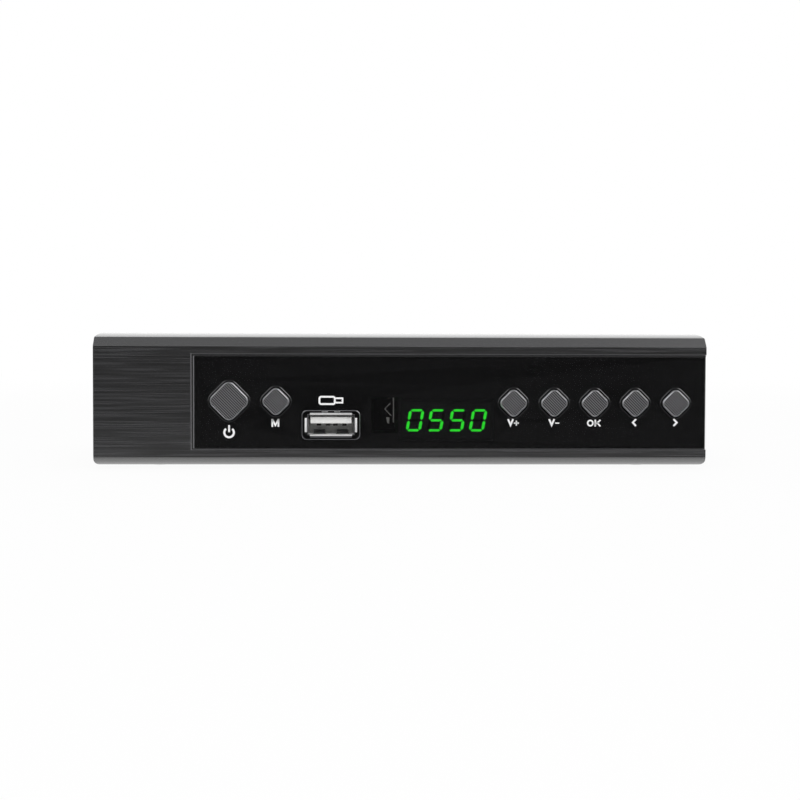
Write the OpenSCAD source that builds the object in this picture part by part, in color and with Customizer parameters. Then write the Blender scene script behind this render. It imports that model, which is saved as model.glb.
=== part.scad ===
// Set-top receiver for terrestrial television: moulded front, folded steel casing, boards and sockets.
// Millimetres. X runs along the front, Y from front to back and Z up.
// The origin is the middle of the whole footprint, on the surface that the feet stand on.

/* [Front panel] */
// Width of the front panel
panel_w = 168; // [166:1:172]
// Depth of the front panel, from its face to its rear rim
panel_d = 12; // [12:0.1:12.4]
// Height of the flat front face
face_h = 30.2; // [30:0.1:31]
// Height of the flat chamfer above the face
chamfer_h = 2.45; // [2.2:0.05:2.7]
// Depth of that chamfer
chamfer_d = 2.6; // [2.2:0.1:3]
// Rise of the curved crown, from the chamfer to the rear rim
crown_h = 1.15; // [0.9:0.05:1.3]
// Height of the rounded facet below the face
facet_h = 2.3; // [2:0.1:2.5]
// Depth of that facet
facet_d = 3.2; // [2.8:0.1:3.4]
// Corner radius of the panel, seen from the front
panel_corner_r = 1.5; // [1:0.1:2]
// Thickness of the moulded wall behind the window
front_wall_t = 1.5; // [1.4:0.1:1.6]

/* [Window] */
// Left edge of the window's recess
recess_x0 = -57.3; // [-58:0.1:-57]
// Top of the recess above the middle of the face
recess_top = 12.95; // [12.8:0.05:13.1]
// Bottom of the recess below the middle of the face
recess_bottom = 13; // [12.8:0.05:13.1]
// How far the window's front lies behind the face
window_sink = 0.3; // [0.2:0.05:0.4]
// Thickness of the smoked window
window_t = 1.2; // [1.1:0.05:1.3]
// Width of the bevel along the window's edges
window_bevel = 0.5; // [0.3:0.05:0.6]

/* [Buttons] */
// Side of the square power cap, which stands on one corner
power_side = 8.26; // [8:0.02:8.4]
// Corner radius of the power cap
power_corner_r = 1.3; // [1.2:0.05:1.5]
// Side of the six smaller caps
key_side = 6.02; // [5.9:0.02:6.1]
// Corner radius of the smaller caps
key_corner_r = 1.1; // [1:0.05:1.2]
// Distance between the five keys on the right
key_pitch = 11.2; // [11.1:0.05:11.3]
// Gap between a cap and its hole
cap_gap = 0.53; // [0.4:0.01:0.6]
// How far a cap stands out of the window
cap_proud = 0.9; // [0.7:0.1:1]
// Bevel round the front of a cap
cap_bevel = 0.45; // [0.3:0.05:0.6]
// Travel of a button
key_travel = 0.5; // [0.4:0.05:0.5]

/* [Casing] */
// Depth from the front face to the back of the casing
body_d = 96; // [94:1:104]
// Width of the steel casing
case_w = 165.6; // [165:0.1:165.8]
// Thickness of the chassis sheet
chassis_t = 0.8; // [0.7:0.1:0.8]
// Thickness of the cover sheet
cover_t = 0.7; // [0.6:0.1:0.7]
// Outer bend radius of the cover
cover_bend_r = 1.5; // [1.2:0.1:2]
// Height of the cover's lip over the rear wall
lip_h = 6.5; // [6:0.1:6.6]
// How far the feet hold the front panel off the surface
foot_drop = 1.2; // [1:0.1:1.4]
// Radius of a rubber foot
foot_r = 6; // [5:0.5:7]

/* [Sockets] */
// How far the longest socket stands out of the back
socket_reach = 9; // [8.5:0.1:9.5]
// Radius inside the aerial socket
aerial_bore_r = 4.78; // [4.77:0.01:4.8]
// Radius of the loop-out plug
loop_plug_r = 4.76; // [4.75:0.01:4.77]
// Radius of the loop-out pin
loop_pin_r = 1.17; // [1.15:0.01:1.19]
// Radius of the audio socket's sleeve
audio_sleeve_r = 4.15; // [4.1:0.05:4.2]

/* [Hidden] */
$fn = 48;
hull_fn = 32;
eps = 0.01;

// Places along Y
total_d = body_d + cap_proud - window_sink + socket_reach;
front_y = cap_proud - window_sink - total_d / 2;
rear_y = front_y + body_d;
tip_y = rear_y + socket_reach;
function behind_face(d) = front_y + d;
seam = 0.1;
wall_y1 = rear_y - cover_t - seam;
wall_y0 = wall_y1 - chassis_t;

// Heights
panel_z0 = foot_drop;
face_z0 = panel_z0 + facet_h;
face_z1 = face_z0 + face_h;
panel_z1 = face_z1 + chamfer_h + crown_h;
mid_z = (face_z0 + face_z1) / 2;
chassis_z0 = panel_z0 + 1;
floor_z = chassis_z0 + chassis_t;
cover_z1 = panel_z1 - 0.2;
ceiling_z = cover_z1 - cover_t;
board_t = 1.6;
board_z1 = 8.8;
board_z0 = board_z1 - board_t;

// Front panel
panel_wall_t = 2;
wall_d = window_sink + window_t + front_wall_t;
crown_steps = 6;
facet_steps = 8;
facet_r = (facet_d * facet_d + facet_h * facet_h) / (2 * facet_h);
facet_start = asin(facet_d / facet_r);
hook_w = 10;
hook_reach = 20;
hook_t = 1.2;
floor_hook_x = [-58, 4, 58];
top_hook_x = [-45, 45];
top_hook_reach = 18;

// Window
recess_z0 = mid_z - recess_bottom;
recess_z1 = mid_z + recess_top;
window_x0 = recess_x0 + seam;
window_z0 = recess_z0 + seam;
window_z1 = recess_z1 - seam;
window_x1 = panel_w / 2 - seam;

// Each key's place along X, its rise above the middle of the face, its side and its corner radius
right_keys_x = 30.8;
right_keys_rise = -0.3;
power_key = [-47.1, 0.15, power_side, power_corner_r];
menu_key = [-34.35, 0.05, key_side, key_corner_r];
function right_key(i) = [right_keys_x + i * key_pitch, right_keys_rise, key_side, key_corner_r];
keys = [power_key, menu_key, for (i = [0 : 4]) right_key(i)];

// Stack of one button, as depths behind the face
cap_d0 = window_sink - cap_proud;
flange_gap = 0.3;
flange_d0 = wall_d + flange_gap;
flange_t = 1;
flange_d1 = flange_d0 + flange_t;
flange_lip = 0.55;
stem_r = 1.6;
plunger_d0 = 5.5;
plunger_d1 = 7;
plunger_r = 1.7;
switch_d0 = 6.3;
switch_side = 6;
switch_pocket_r = 2.02;
switch_pocket_d = plunger_d1 + key_travel + 0.4;
key_board_d0 = 9.8;
key_board_d1 = key_board_d0 + board_t;

// Key board
key_board_x0 = -56;
key_board_x1 = 80.5;
key_board_z0 = 5.5;
key_board_z1 = 31.5;
key_board_fixings = [[-51, 8.6], [-51, 28.8], [36.4, 28.8], [76, 8.6]];
small_boss_r = 2.4;
small_pilot_r = 1.05;
small_shaft_r = 1;
small_hole_r = 1.15;
small_head_r = 2;
small_head_t = 1.1;
small_screw_l = 6.5;

// Display and remote eye, behind the window
display_x = 12.4;
display_z = mid_z - 5.1;
display_w = 25;
display_h = 10.2;
display_d0 = 2.2;
digit_h = 6.35;
digit_w = 3.5;
digit_pitch = 5.82;
digit_slant = 10;
segment_w = 0.85;
segment_t = 0.15;
segment_gap = 0.12;
eye_x = -4.7;
eye_z = mid_z - 3.7;
eye_w = 5.7;
eye_h = 8.5;
eye_d0 = 4.6;
eye_d1 = 8.6;
eye_lens_r = 2.2;
aperture_play = 0.7;

// Front port
port_x = -19.3;
port_z = mid_z - 6.37;
port_hole_w = 16.1;
port_hole_h = 8.2;
port_hole_r = 1.4;
port_w = 12.5;
port_h = 5.12;
port_sheet = 0.3;
port_d0 = 0.9;
port_l = 13.8;
port_flare = 0.75;
port_flare_angle = 40;
port_tongue_w = 11.3;
port_tongue_t = 1.84;
port_tongue_rise = 1.2;
port_tongue_l = 8.6;
port_contact_x = [-3.5, -1, 1, 3.5];

// Boards and their fixings
main_board_w = 160;
main_board_y0 = behind_face(14);
main_board_y1 = wall_y0 - 0.6;
tongue_x0 = -28;
tongue_x1 = -10.6;
tongue_y0 = behind_face(4);
board_fixings = [
  [-72, main_board_y0 + 6], [72, main_board_y0 + 6], [36.5, main_board_y1 - 4.5], [-72, main_board_y1 - 18]
];
boss_r = 3;
screw_r = 1.5;
screw_hole_r = 1.7;
screw_pilot_r = 1.56;
screw_head_r = 2.7;
screw_head_t = 1.1;
screw_l = 5;
link_x0 = 1;
link_pitch = 2.54;
link_pins = 10;
link_pin_r = 0.32;
link_hole_r = 0.44;
link_z = board_z1 + 1.25;

// Chassis and cover
case_y0 = behind_face(panel_d) + 0.2;
chassis_w = case_w - 2 * cover_t - 2 * seam;
side_flange_z = 14;
front_flange_z = 6;
chassis_back_z = ceiling_z - 0.2;
side_screw_z = 11;
side_screw_y = [case_y0 + 16, rear_y - 24];
lip_screw_x = [-62, 62];
lip_screw_z = cover_z1 - 3.6;
cover_skirt_z = floor_z + 0.2;
slot_w = 2.2;
slot_pitch = 5;
top_slot_l = 24;
top_slots = 13;
top_slot_rows = [-18, 14];
side_slot_l = 12;
side_slots = 9;
floor_slot_l = 18;
floor_slots = 12;
vent_hole_r = 1.3;

// Feet
foot_x = 68;
foot_front_y = behind_face(22);
foot_rear_y = rear_y - 14;
foot_edge = 0.5;

// Sockets at the back, each by its middle along X
can_x0 = 40;
can_x1 = 76;
can_d = 26;
can_h = 15.5;
can_y1 = wall_y0 - 1;
aerial_x = 66;
loop_x = 50;
coax_z = board_z1 + 8.4;
coax_collar_r = 5.6;
coax_cutout_r = 6;
aerial_tip_y = tip_y - 1;
aerial_contact_r = 1.9;
aerial_contact_bore_r = 1.2;
loop_bore_r = 4.05;
av_x = 8;
av_w = 50.5;
av_h = 20.5;
av_l = 15;
av_y1 = rear_y + 0.6;
av_pocket_w = 47;
av_pocket_h = 15.6;
av_pocket_l = 9;
av_cut = 6;
av_island_inset = 2.3;
av_sheet = 0.35;
av_slot_pitch = 3.81;
av_slot_w = 1.4;
av_slot_h = 4.2;
av_row_z = 2.6;
video_x = -30;
video_z = board_z1 + 3.4;
video_w = 14;
video_h = 4.55;
video_cut = 1.5;
video_sheet = 0.35;
video_l = 11.5;
video_y1 = rear_y + 0.7;
audio_x = -45.5;
audio_z = board_z1 + 8;
audio_tip_y = rear_y + 8.2;
network_x = -60.6;
network_w = 16;
network_h = 13.2;
network_l = 18.5;
network_y1 = rear_y + 0.5;
network_mouth_w = 11.9;
network_mouth_h = 8.3;
network_mouth_z = board_z1 + 3.2;
network_mouth_l = 13.5;
network_latch_w = 6.2;
network_latch_h = 2.1;
network_wires = 8;
network_wire_pitch = 1.02;
network_wire_r = 0.23;
inlet_x = -75;
inlet_w = 9;
inlet_h = 11;
inlet_l = 14;
inlet_y1 = rear_y + 0.4;
inlet_z = board_z1 + 6.2;
inlet_bore_r = 3.1;
inlet_pin_r = 1.05;
inlet_bore_l = 9.5;
socket_play = 0.3;

// Parts on the main board
processor_pos = [2, -12];
processor_side = 19;
chip_t = 1.2;
memory_pos = [[-22, -20], [-22, -6]];
memory_size = [12, 9];
sink_side = 24;
sink_h = 10;
sink_base_t = 2.4;
sink_fins = 7;
sink_fin_t = 1.3;
// Each capacitor's x, y, radius and height
capacitor_list = [
  [-64, 8, 4, 11], [-53, 8, 4, 11], [-42, 8, 3.15, 9], [-60, -12, 3.15, 9],
  [24, -24, 3.15, 9], [34, -10, 2.5, 7], [62, -10, 3.15, 9], [52, -22, 2.5, 7]
];

// A rectangle with true round corners, in the middle
module rounded_rect(w, h, r) {
  square([w - 2 * r, h], center = true);
  square([w, h - 2 * r], center = true);
  for (sx = [-1, 1], sy = [-1, 1])
    translate([sx * (w / 2 - r), sy * (h / 2 - r)]) circle(r = r);
}

// A rounded square that stands on one corner
module diamond(side, r) {
  rotate(45) rounded_rect(side, side, r);
}

// Takes an outline in X and Z and gives it depth from y0 to y1
module along_y(y0, y1) {
  translate([0, y1, 0]) rotate([90, 0, 0]) linear_extrude(height = y1 - y0) children();
}

// Takes an outline in Y and Z and gives it width from x0 to x1
module along_x(x0, x1) {
  translate([x0, 0, 0]) rotate([90, 0, 90]) linear_extrude(height = x1 - x0) children();
}

// A block between two corners
module block(low, high) {
  translate(low) cube(high - low);
}

// A round bar along Y
module rod_y(x, z, y0, y1, r) {
  translate([x, y0, z]) rotate([-90, 0, 0]) cylinder(r = r, h = y1 - y0);
}

// A round bar along X, from x0 towards +X
module rod_x(x0, y, z, l, r) {
  translate([x0, y, z]) rotate([0, 90, 0]) cylinder(r = r, h = l);
}

// A screw with a low head, its head's underside at z = 0 and its shaft going down
module screw(head_r, head_t, shaft_r, l) {
  cross_l = head_r * 1.1;
  cross_w = 0.5;
  difference() {
    cylinder(r = head_r, h = head_t);
    for (a = [0, 90])
      rotate(a) translate([-cross_l / 2, -cross_w / 2, head_t / 2]) cube([cross_l, cross_w, head_t]);
  }
  translate([0, 0, -l]) cylinder(r = shaft_r, h = l);
}

// A point of the crown, from the top of the chamfer to the rear rim
function crown_point(i) =
  let (t = i / crown_steps)
  [chamfer_d + t * (panel_d - chamfer_d), face_z1 + chamfer_h + crown_h * (1 - (1 - t) * (1 - t))];

// A point of the rounded facet, from the flat underside to the face
function facet_point(i) =
  let (a = facet_start * i / facet_steps)
  [facet_d - facet_r * sin(a), panel_z0 + facet_r * (1 - cos(a))];

// Side view of the front panel, from its face backwards
module panel_profile() {
  polygon(concat(
    [for (i = [0 : facet_steps]) facet_point(i)],
    [[0, face_z1]],
    [for (i = [0 : crown_steps]) crown_point(i)],
    [[panel_d, panel_z0]]
  ));
}

module panel_hollow() {
  inner_w = panel_w / 2 - panel_wall_t;
  along_x(-inner_w, inner_w)
    translate([front_y, 0])
      polygon([
        [wall_d, panel_z0 + panel_wall_t], [wall_d, face_z1 + 0.5],
        [panel_d + 1, panel_z1 - panel_wall_t], [panel_d + 1, panel_z0 + panel_wall_t]
      ]);
}

// Holes for the caps, grown by the gap round each of them
module key_holes(y0, y1) {
  for (k = keys)
    translate([k[0], 0, mid_z + k[1]]) along_y(y0, y1) diamond(k[2] + 2 * cap_gap, k[3] + cap_gap);
}

module port_hole(y0, y1, grow) {
  translate([port_x, 0, port_z])
    along_y(y0, y1) rounded_rect(port_hole_w + grow, port_hole_h + grow, port_hole_r);
}

// Openings in the moulding, in front of the display and the remote eye
module display_apertures() {
  y0 = behind_face(window_sink);
  y1 = behind_face(wall_d) + 1;
  dw = display_w / 2 + aperture_play;
  dh = display_h / 2 + aperture_play;
  eh = eye_h / 2 + aperture_play;
  block([display_x - dw, y0, display_z - dh], [display_x + dw, y1, display_z + dh]);
  block([eye_x - eye_w / 2 - aperture_play, y0, eye_z - eh], [display_x - dw + 1, y1, eye_z + eh]);
}

module floor_hook(x) {
  nub_t = 0.7;
  block(
    [x - hook_w / 2, behind_face(panel_d - 3.5), floor_z + seam],
    [x + hook_w / 2, behind_face(hook_reach), floor_z + seam + hook_t]
  );
  block(
    [x - hook_w / 2, behind_face(panel_d - 3.5), panel_z0 + panel_wall_t / 2],
    [x + hook_w / 2, behind_face(panel_d - 0.5), floor_z + seam + hook_t]
  );
  block(
    [x - hook_w / 2 + 1, behind_face(hook_reach - 3), floor_z - nub_t],
    [x + hook_w / 2 - 1, behind_face(hook_reach - 1.8), floor_z + seam + hook_t]
  );
}

module top_hook(x) {
  block(
    [x - hook_w / 2, behind_face(panel_d - 3), ceiling_z - 0.2 - hook_t],
    [x + hook_w / 2, behind_face(top_hook_reach), ceiling_z - 0.2]
  );
}

module front_panel() {
  color("#333335") {
    difference() {
      union() {
        difference() {
          intersection() {
            along_x(-panel_w / 2, panel_w / 2) translate([front_y, 0]) panel_profile();
            translate([0, 0, (panel_z0 + panel_z1) / 2])
              along_y(front_y - 1, behind_face(panel_d))
                rounded_rect(panel_w, panel_z1 - panel_z0, panel_corner_r);
          }
          panel_hollow();
        }
        for (p = key_board_fixings)
          rod_y(p[0], p[1], behind_face(wall_d - 0.5), behind_face(key_board_d0), small_boss_r);
      }
      block(
        [recess_x0, front_y - 1, recess_z0],
        [panel_w / 2 + 1, behind_face(window_sink + window_t), recess_z1]
      );
      key_holes(front_y, behind_face(wall_d) + 1);
      port_hole(front_y, behind_face(wall_d) + 1, 0.4);
      display_apertures();
      for (p = key_board_fixings)
        rod_y(p[0], p[1], behind_face(wall_d + 0.5), behind_face(key_board_d0) + 1, small_pilot_r);
    }
    for (x = floor_hook_x) floor_hook(x);
    for (x = top_hook_x) top_hook(x);
  }
}

module front_window() {
  y0 = behind_face(window_sink);
  y1 = y0 + window_t;
  cut = window_bevel * sqrt(2);
  long = panel_w + 10;
  color("#0c0c0d")
    difference() {
      block([window_x0, y0, window_z0], [window_x1, y1, window_z1]);
      key_holes(y0 - 1, y1 + 1);
      port_hole(y0 - 1, y1 + 1, 0);
      for (z = [window_z0, window_z1])
        translate([0, y0, z]) rotate([45, 0, 0]) cube([long, cut, cut], center = true);
      translate([window_x0, y0, mid_z]) rotate([0, 0, 45]) cube([cut, cut, panel_w], center = true);
    }
}

module button_cap(key) {
  side = key[2];
  corner = key[3];
  corner_mid = side / 2 - corner;
  bevel_y = behind_face(cap_d0 + cap_bevel);
  color("#4d4d50")
    translate([key[0], 0, mid_z + key[1]]) {
      translate([0, bevel_y, 0]) rotate([90, 45, 0])
        hull()
          for (sx = [-1, 1], sy = [-1, 1])
            translate([sx * corner_mid, sy * corner_mid, 0])
              cylinder(r1 = corner, r2 = corner - cap_bevel, h = cap_bevel, $fn = hull_fn);
      along_y(bevel_y, behind_face(flange_d0 + eps)) diamond(side, corner);
      along_y(behind_face(flange_d0), behind_face(flange_d1))
        diamond(side + 2 * (cap_gap + flange_lip), corner + cap_gap);
      rod_y(0, 0, behind_face(flange_d1 - eps), behind_face(plunger_d0), stem_r);
    }
}

module switch_plunger(key) {
  color("#1c1c1e")
    rod_y(key[0], mid_z + key[1], behind_face(plunger_d0), behind_face(plunger_d1), plunger_r);
}

module switch_housing(key) {
  color("silver")
    translate([key[0], 0, mid_z + key[1]])
      difference() {
        along_y(behind_face(switch_d0), behind_face(key_board_d0)) square(switch_side, center = true);
        rod_y(0, 0, behind_face(switch_d0) - 1, behind_face(switch_pocket_d), switch_pocket_r);
      }
}

module key_board() {
  y0 = behind_face(key_board_d0);
  y1 = behind_face(key_board_d1);
  color("#2f5a36")
    difference() {
      block([key_board_x0, y0, key_board_z0], [key_board_x1, y1, key_board_z1]);
      block([tongue_x0 - 0.5, y0 - 1, 0], [tongue_x1 + 0.5, y1 + 1, port_z + port_h / 2 + 1.6]);
      for (p = key_board_fixings) rod_y(p[0], p[1], y0 - 1, y1 + 1, small_hole_r);
      for (i = [0 : link_pins - 1])
        rod_y(link_x0 + i * link_pitch, link_z, y0 - 1, y1 + 1, link_hole_r);
    }
}

module key_board_screws() {
  color("silver")
    for (p = key_board_fixings)
      translate([p[0], behind_face(key_board_d1), p[1]])
        rotate([-90, 0, 0]) screw(small_head_r, small_head_t, small_shaft_r, small_screw_l);
}

module board_link() {
  pin_y0 = behind_face(key_board_d0 + 0.2);
  block_y0 = main_board_y0 + 0.5;
  color("#1c1c1e")
    difference() {
      block(
        [link_x0 - 1.3, block_y0, board_z1],
        [link_x0 + (link_pins - 1) * link_pitch + 1.3, block_y0 + 2.5, board_z1 + 2.5]
      );
      for (i = [0 : link_pins - 1])
        rod_y(link_x0 + i * link_pitch, link_z, block_y0 - 1, block_y0 + 4, link_hole_r);
    }
  color("gold")
    for (i = [0 : link_pins - 1])
      rod_y(link_x0 + i * link_pitch, link_z, pin_y0, block_y0 + 3.2, link_pin_r);
}

module display_module() {
  color("#151517")
    block(
      [display_x - display_w / 2, behind_face(display_d0), display_z - display_h / 2],
      [display_x + display_w / 2, behind_face(key_board_d0), display_z + display_h / 2]
    );
}

// One bar with pointed ends, lying along X
module segment_bar(l) {
  h = segment_w / 2;
  polygon([[-l / 2, 0], [-l / 2 + h, h], [l / 2 - h, h], [l / 2, 0], [l / 2 - h, -h], [-l / 2 + h, -h]]);
}

// The seven bars of one digit, in the middle and upright
module digit_bars() {
  across = digit_w - segment_w - 2 * segment_gap;
  down = (digit_h - segment_w) / 2 - 2 * segment_gap;
  step = (digit_h - segment_w) / 2;
  for (z = [-step, 0, step]) translate([0, z]) segment_bar(across);
  for (sx = [-1, 1], sz = [-1, 1])
    translate([sx * (digit_w - segment_w) / 2, sz * step / 2]) rotate(90) segment_bar(down);
}

module display_segments() {
  lean = tan(digit_slant);
  y1 = behind_face(display_d0);
  color("#2bd72f")
    for (i = [0 : 3])
      translate([display_x + (i - 1.5) * digit_pitch, 0, display_z])
        along_y(y1 - segment_t, y1)
          multmatrix([[1, lean, 0, 0], [0, 1, 0, 0], [0, 0, 1, 0], [0, 0, 0, 1]]) digit_bars();
}

module ir_receiver() {
  lens_y = behind_face(eye_d0 + eye_lens_r * 0.25);
  lead_r = 0.25;
  lead_step = 1.8;
  color("#17171a") {
    block(
      [eye_x - eye_w / 2, behind_face(eye_d0), eye_z - eye_h / 2],
      [eye_x + eye_w / 2, behind_face(eye_d1), eye_z + eye_h / 2]
    );
    translate([eye_x, lens_y, eye_z + 1]) sphere(r = eye_lens_r);
    for (i = [-1 : 1])
      rod_y(
        eye_x + i * lead_step, eye_z - eye_h / 2 + 1,
        behind_face(eye_d1 - eps), behind_face(key_board_d0), lead_r
      );
  }
}

// A lip of the port's mouth, which leans outwards as it comes forward, above the mouth's middle
module port_lip(w) {
  rise = port_flare * tan(port_flare_angle);
  root = port_sheet;
  rotate([90, 0, 90])
    translate([0, 0, -w / 2])
      linear_extrude(height = w)
        polygon([
          [root, 0], [0, 0], [-port_flare, rise], [-port_flare, rise + port_sheet],
          [0, port_sheet], [root, port_sheet]
        ]);
}

module front_port_shell() {
  y0 = behind_face(port_d0);
  y1 = y0 + port_l;
  out_w = port_w + 2 * port_sheet;
  out_h = port_h + 2 * port_sheet;
  color("silver")
    translate([port_x, 0, port_z]) {
      difference() {
        block([-out_w / 2, y0, -out_h / 2], [out_w / 2, y1, out_h / 2]);
        block([-port_w / 2, y0 - 1, -port_h / 2], [port_w / 2, y1 + 1, port_h / 2]);
      }
      for (a = [0, 180]) rotate([0, a, 0]) translate([0, y0, port_h / 2]) port_lip(port_w - 1);
      for (a = [90, 270]) rotate([0, a, 0]) translate([0, y0, port_w / 2]) port_lip(port_h - 1.2);
      for (sx = [-1, 1])
        block(
          [sx * out_w / 2 - port_sheet, y1 - 5, board_z1 - port_z],
          [sx * out_w / 2 + port_sheet, y1 - 3, 0]
        );
    }
}

module front_port_tongue() {
  y1 = behind_face(port_d0 + port_l);
  base_l = 3.4;
  color("white")
    translate([port_x, 0, port_z]) {
      block(
        [-port_w / 2 + 0.1, y1 - base_l, -port_h / 2 + 0.1],
        [port_w / 2 - 0.1, y1, port_h / 2 - 0.1]
      );
      difference() {
        block(
          [-port_tongue_w / 2, y1 - base_l - port_tongue_l, port_tongue_rise - port_tongue_t / 2],
          [port_tongue_w / 2, y1 - base_l + eps, port_tongue_rise + port_tongue_t / 2]
        );
        for (x = port_contact_x)
          block(
            [x - 0.6, y1 - base_l - port_tongue_l - 1, port_tongue_rise - port_tongue_t],
            [x + 0.6, y1 - base_l, port_tongue_rise - port_tongue_t / 2 + 0.45]
          );
      }
    }
}

module front_port_contacts() {
  y1 = behind_face(port_d0 + port_l) - 3.4;
  z = port_tongue_rise - port_tongue_t / 2;
  color("gold")
    translate([port_x, 0, port_z])
      for (x = port_contact_x)
        block([x - 0.5, y1 - port_tongue_l + 0.6, z + 0.1], [x + 0.5, y1 - 0.1, z + 0.4]);
}

module main_board() {
  color("#2f5a36")
    difference() {
      union() {
        block([-main_board_w / 2, main_board_y0, board_z0], [main_board_w / 2, main_board_y1, board_z1]);
        block([tongue_x0, tongue_y0, board_z0], [tongue_x1, main_board_y0 + 1, board_z1]);
      }
      for (p = board_fixings)
        translate([p[0], p[1], board_z0 - 1]) cylinder(r = screw_hole_r, h = board_t + 2);
    }
}

module board_screws() {
  color("silver")
    for (p = board_fixings)
      translate([p[0], p[1], board_z1]) screw(screw_head_r, screw_head_t, screw_r, screw_l);
}

// A slot with round ends, along Y
module slot_hole(l) {
  square([slot_w, l - slot_w], center = true);
  for (s = [-1, 1]) translate([0, s * (l - slot_w) / 2]) circle(r = slot_w / 2, $fn = 24);
}

module slot_row(count, l) {
  for (i = [0 : count - 1])
    translate([(i - (count - 1) / 2) * slot_pitch, 0]) slot_hole(l);
}

// Openings in the rear wall for every socket
module rear_cutouts() {
  y0 = wall_y0 - 1;
  y1 = wall_y1 + 1;
  for (x = [aerial_x, loop_x]) rod_y(x, coax_z, y0, y1, coax_cutout_r);
  rod_y(audio_x, audio_z, y0, y1, audio_sleeve_r + socket_play + 0.3);
  block(
    [av_x - av_w / 2 - socket_play, y0, board_z1 - socket_play],
    [av_x + av_w / 2 + socket_play, y1, board_z1 + av_h + socket_play]
  );
  block(
    [video_x - video_w / 2 - 0.8, y0, video_z - video_h / 2 - 0.8],
    [video_x + video_w / 2 + 0.8, y1, video_z + video_h / 2 + 0.8]
  );
  block(
    [network_x - network_w / 2 - socket_play, y0, board_z1 - socket_play],
    [network_x + network_w / 2 + socket_play, y1, board_z1 + network_h + socket_play]
  );
  block(
    [inlet_x - inlet_w / 2 - socket_play, y0, board_z1 - socket_play],
    [inlet_x + inlet_w / 2 + socket_play, y1, board_z1 + inlet_h + socket_play]
  );
  for (i = [0 : 8], z = [25, 28.6])
    rod_y(-76 + i * 6, z, y0, y1, vent_hole_r);
}

module chassis() {
  half_w = chassis_w / 2;
  color("#9a9ca0")
    difference() {
      union() {
        block([-half_w, case_y0, chassis_z0], [half_w, wall_y1, floor_z]);
        for (x = [-half_w, half_w - chassis_t])
          block([x, case_y0, chassis_z0], [x + chassis_t, wall_y1, side_flange_z]);
        block([-half_w, case_y0, chassis_z0], [half_w, case_y0 + chassis_t, front_flange_z]);
        translate([0, 0, (chassis_z0 + chassis_back_z) / 2])
          along_y(wall_y0, wall_y1) rounded_rect(chassis_w, chassis_back_z - chassis_z0, cover_bend_r);
        for (p = board_fixings)
          translate([p[0], p[1], floor_z - 0.2]) cylinder(r = boss_r, h = board_z0 - floor_z + 0.2);
      }
      rear_cutouts();
      for (p = board_fixings)
        translate([p[0], p[1], chassis_z0 - 1]) cylinder(r = screw_pilot_r, h = board_z0);
      for (y = side_screw_y)
        rod_x(-panel_w / 2, y, side_screw_z, panel_w, screw_pilot_r);
      for (x = lip_screw_x) rod_y(x, lip_screw_z, wall_y0 - 1, wall_y1 + 1, screw_pilot_r);
      for (x = floor_hook_x) {
        block(
          [x - hook_w / 2 - 0.5, case_y0 - 1, floor_z],
          [x + hook_w / 2 + 0.5, case_y0 + chassis_t + 1, front_flange_z + 1]
        );
        block(
          [x - hook_w / 2 + 0.5, behind_face(hook_reach - 3.4), chassis_z0 - 1],
          [x + hook_w / 2 - 0.5, behind_face(hook_reach - 1.4), floor_z + eps]
        );
      }
      translate([0, 2, chassis_z0 - 1])
        linear_extrude(height = chassis_t + 2) slot_row(floor_slots, floor_slot_l);
    }
}

// The cover's section across X and Z, folded from one sheet
module cover_section() {
  wide = case_w;
  tall = cover_z1 - cover_skirt_z;
  inner_r = cover_bend_r - cover_t;
  difference() {
    union() {
      translate([0, cover_z1 - tall / 2]) rounded_rect(wide, tall, cover_bend_r);
      translate([-wide / 2, cover_skirt_z]) square([wide, tall / 2]);
    }
    translate([0, ceiling_z - tall / 2]) rounded_rect(wide - 2 * cover_t, tall, inner_r);
    translate([-wide / 2 + cover_t, cover_skirt_z - 1]) square([wide - 2 * cover_t, tall / 2]);
  }
}

module top_cover() {
  lip_w = case_w - 2 * cover_bend_r;
  color("#1a1a1b")
    difference() {
      union() {
        along_y(case_y0, rear_y) cover_section();
        block(
          [-lip_w / 2, rear_y - cover_t, cover_z1 - lip_h],
          [lip_w / 2, rear_y, cover_z1 - cover_t / 2]
        );
      }
      for (y = top_slot_rows, sx = [-1, 1])
        translate([sx * 40, y, ceiling_z - 1])
          linear_extrude(height = cover_t + 2) slot_row(top_slots, top_slot_l);
      translate([-case_w, 0, 24])
        rotate([90, 0, 90]) linear_extrude(height = 2 * case_w) slot_row(side_slots, side_slot_l);
      for (y = side_screw_y) rod_x(-panel_w / 2, y, side_screw_z, panel_w, screw_hole_r);
      for (x = lip_screw_x) rod_y(x, lip_screw_z, rear_y - 2, rear_y + 1, screw_hole_r);
    }
}

module cover_screws() {
  color("#222223") {
    for (y = side_screw_y, sx = [-1, 1])
      translate([sx * case_w / 2, y, side_screw_z])
        rotate([0, sx * 90, 0]) screw(screw_head_r, screw_head_t, screw_r, screw_l);
    for (x = lip_screw_x)
      translate([x, rear_y, lip_screw_z])
        rotate([-90, 0, 0]) screw(screw_head_r, screw_head_t, screw_r, screw_l);
  }
}

module foot(x, y) {
  color("#161616")
    translate([x, y, 0])
      rotate_extrude()
        polygon([
          [0, 0], [foot_r - foot_edge, 0], [foot_r, foot_edge], [foot_r, chassis_z0], [0, chassis_z0]
        ]);
}

// A tinned can with a groove along each side, below the rim of its lid
module tuner_can() {
  groove_z = board_z1 + can_h - 3;
  groove = 0.3;
  color("silver")
    difference() {
      block([can_x0, can_y1 - can_d, board_z1], [can_x1, can_y1, board_z1 + can_h]);
      for (x = [can_x0, can_x1])
        block([x - groove, can_y1 - can_d - 1, groove_z], [x + groove, can_y1 + 1, groove_z + groove]);
    }
}

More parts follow.
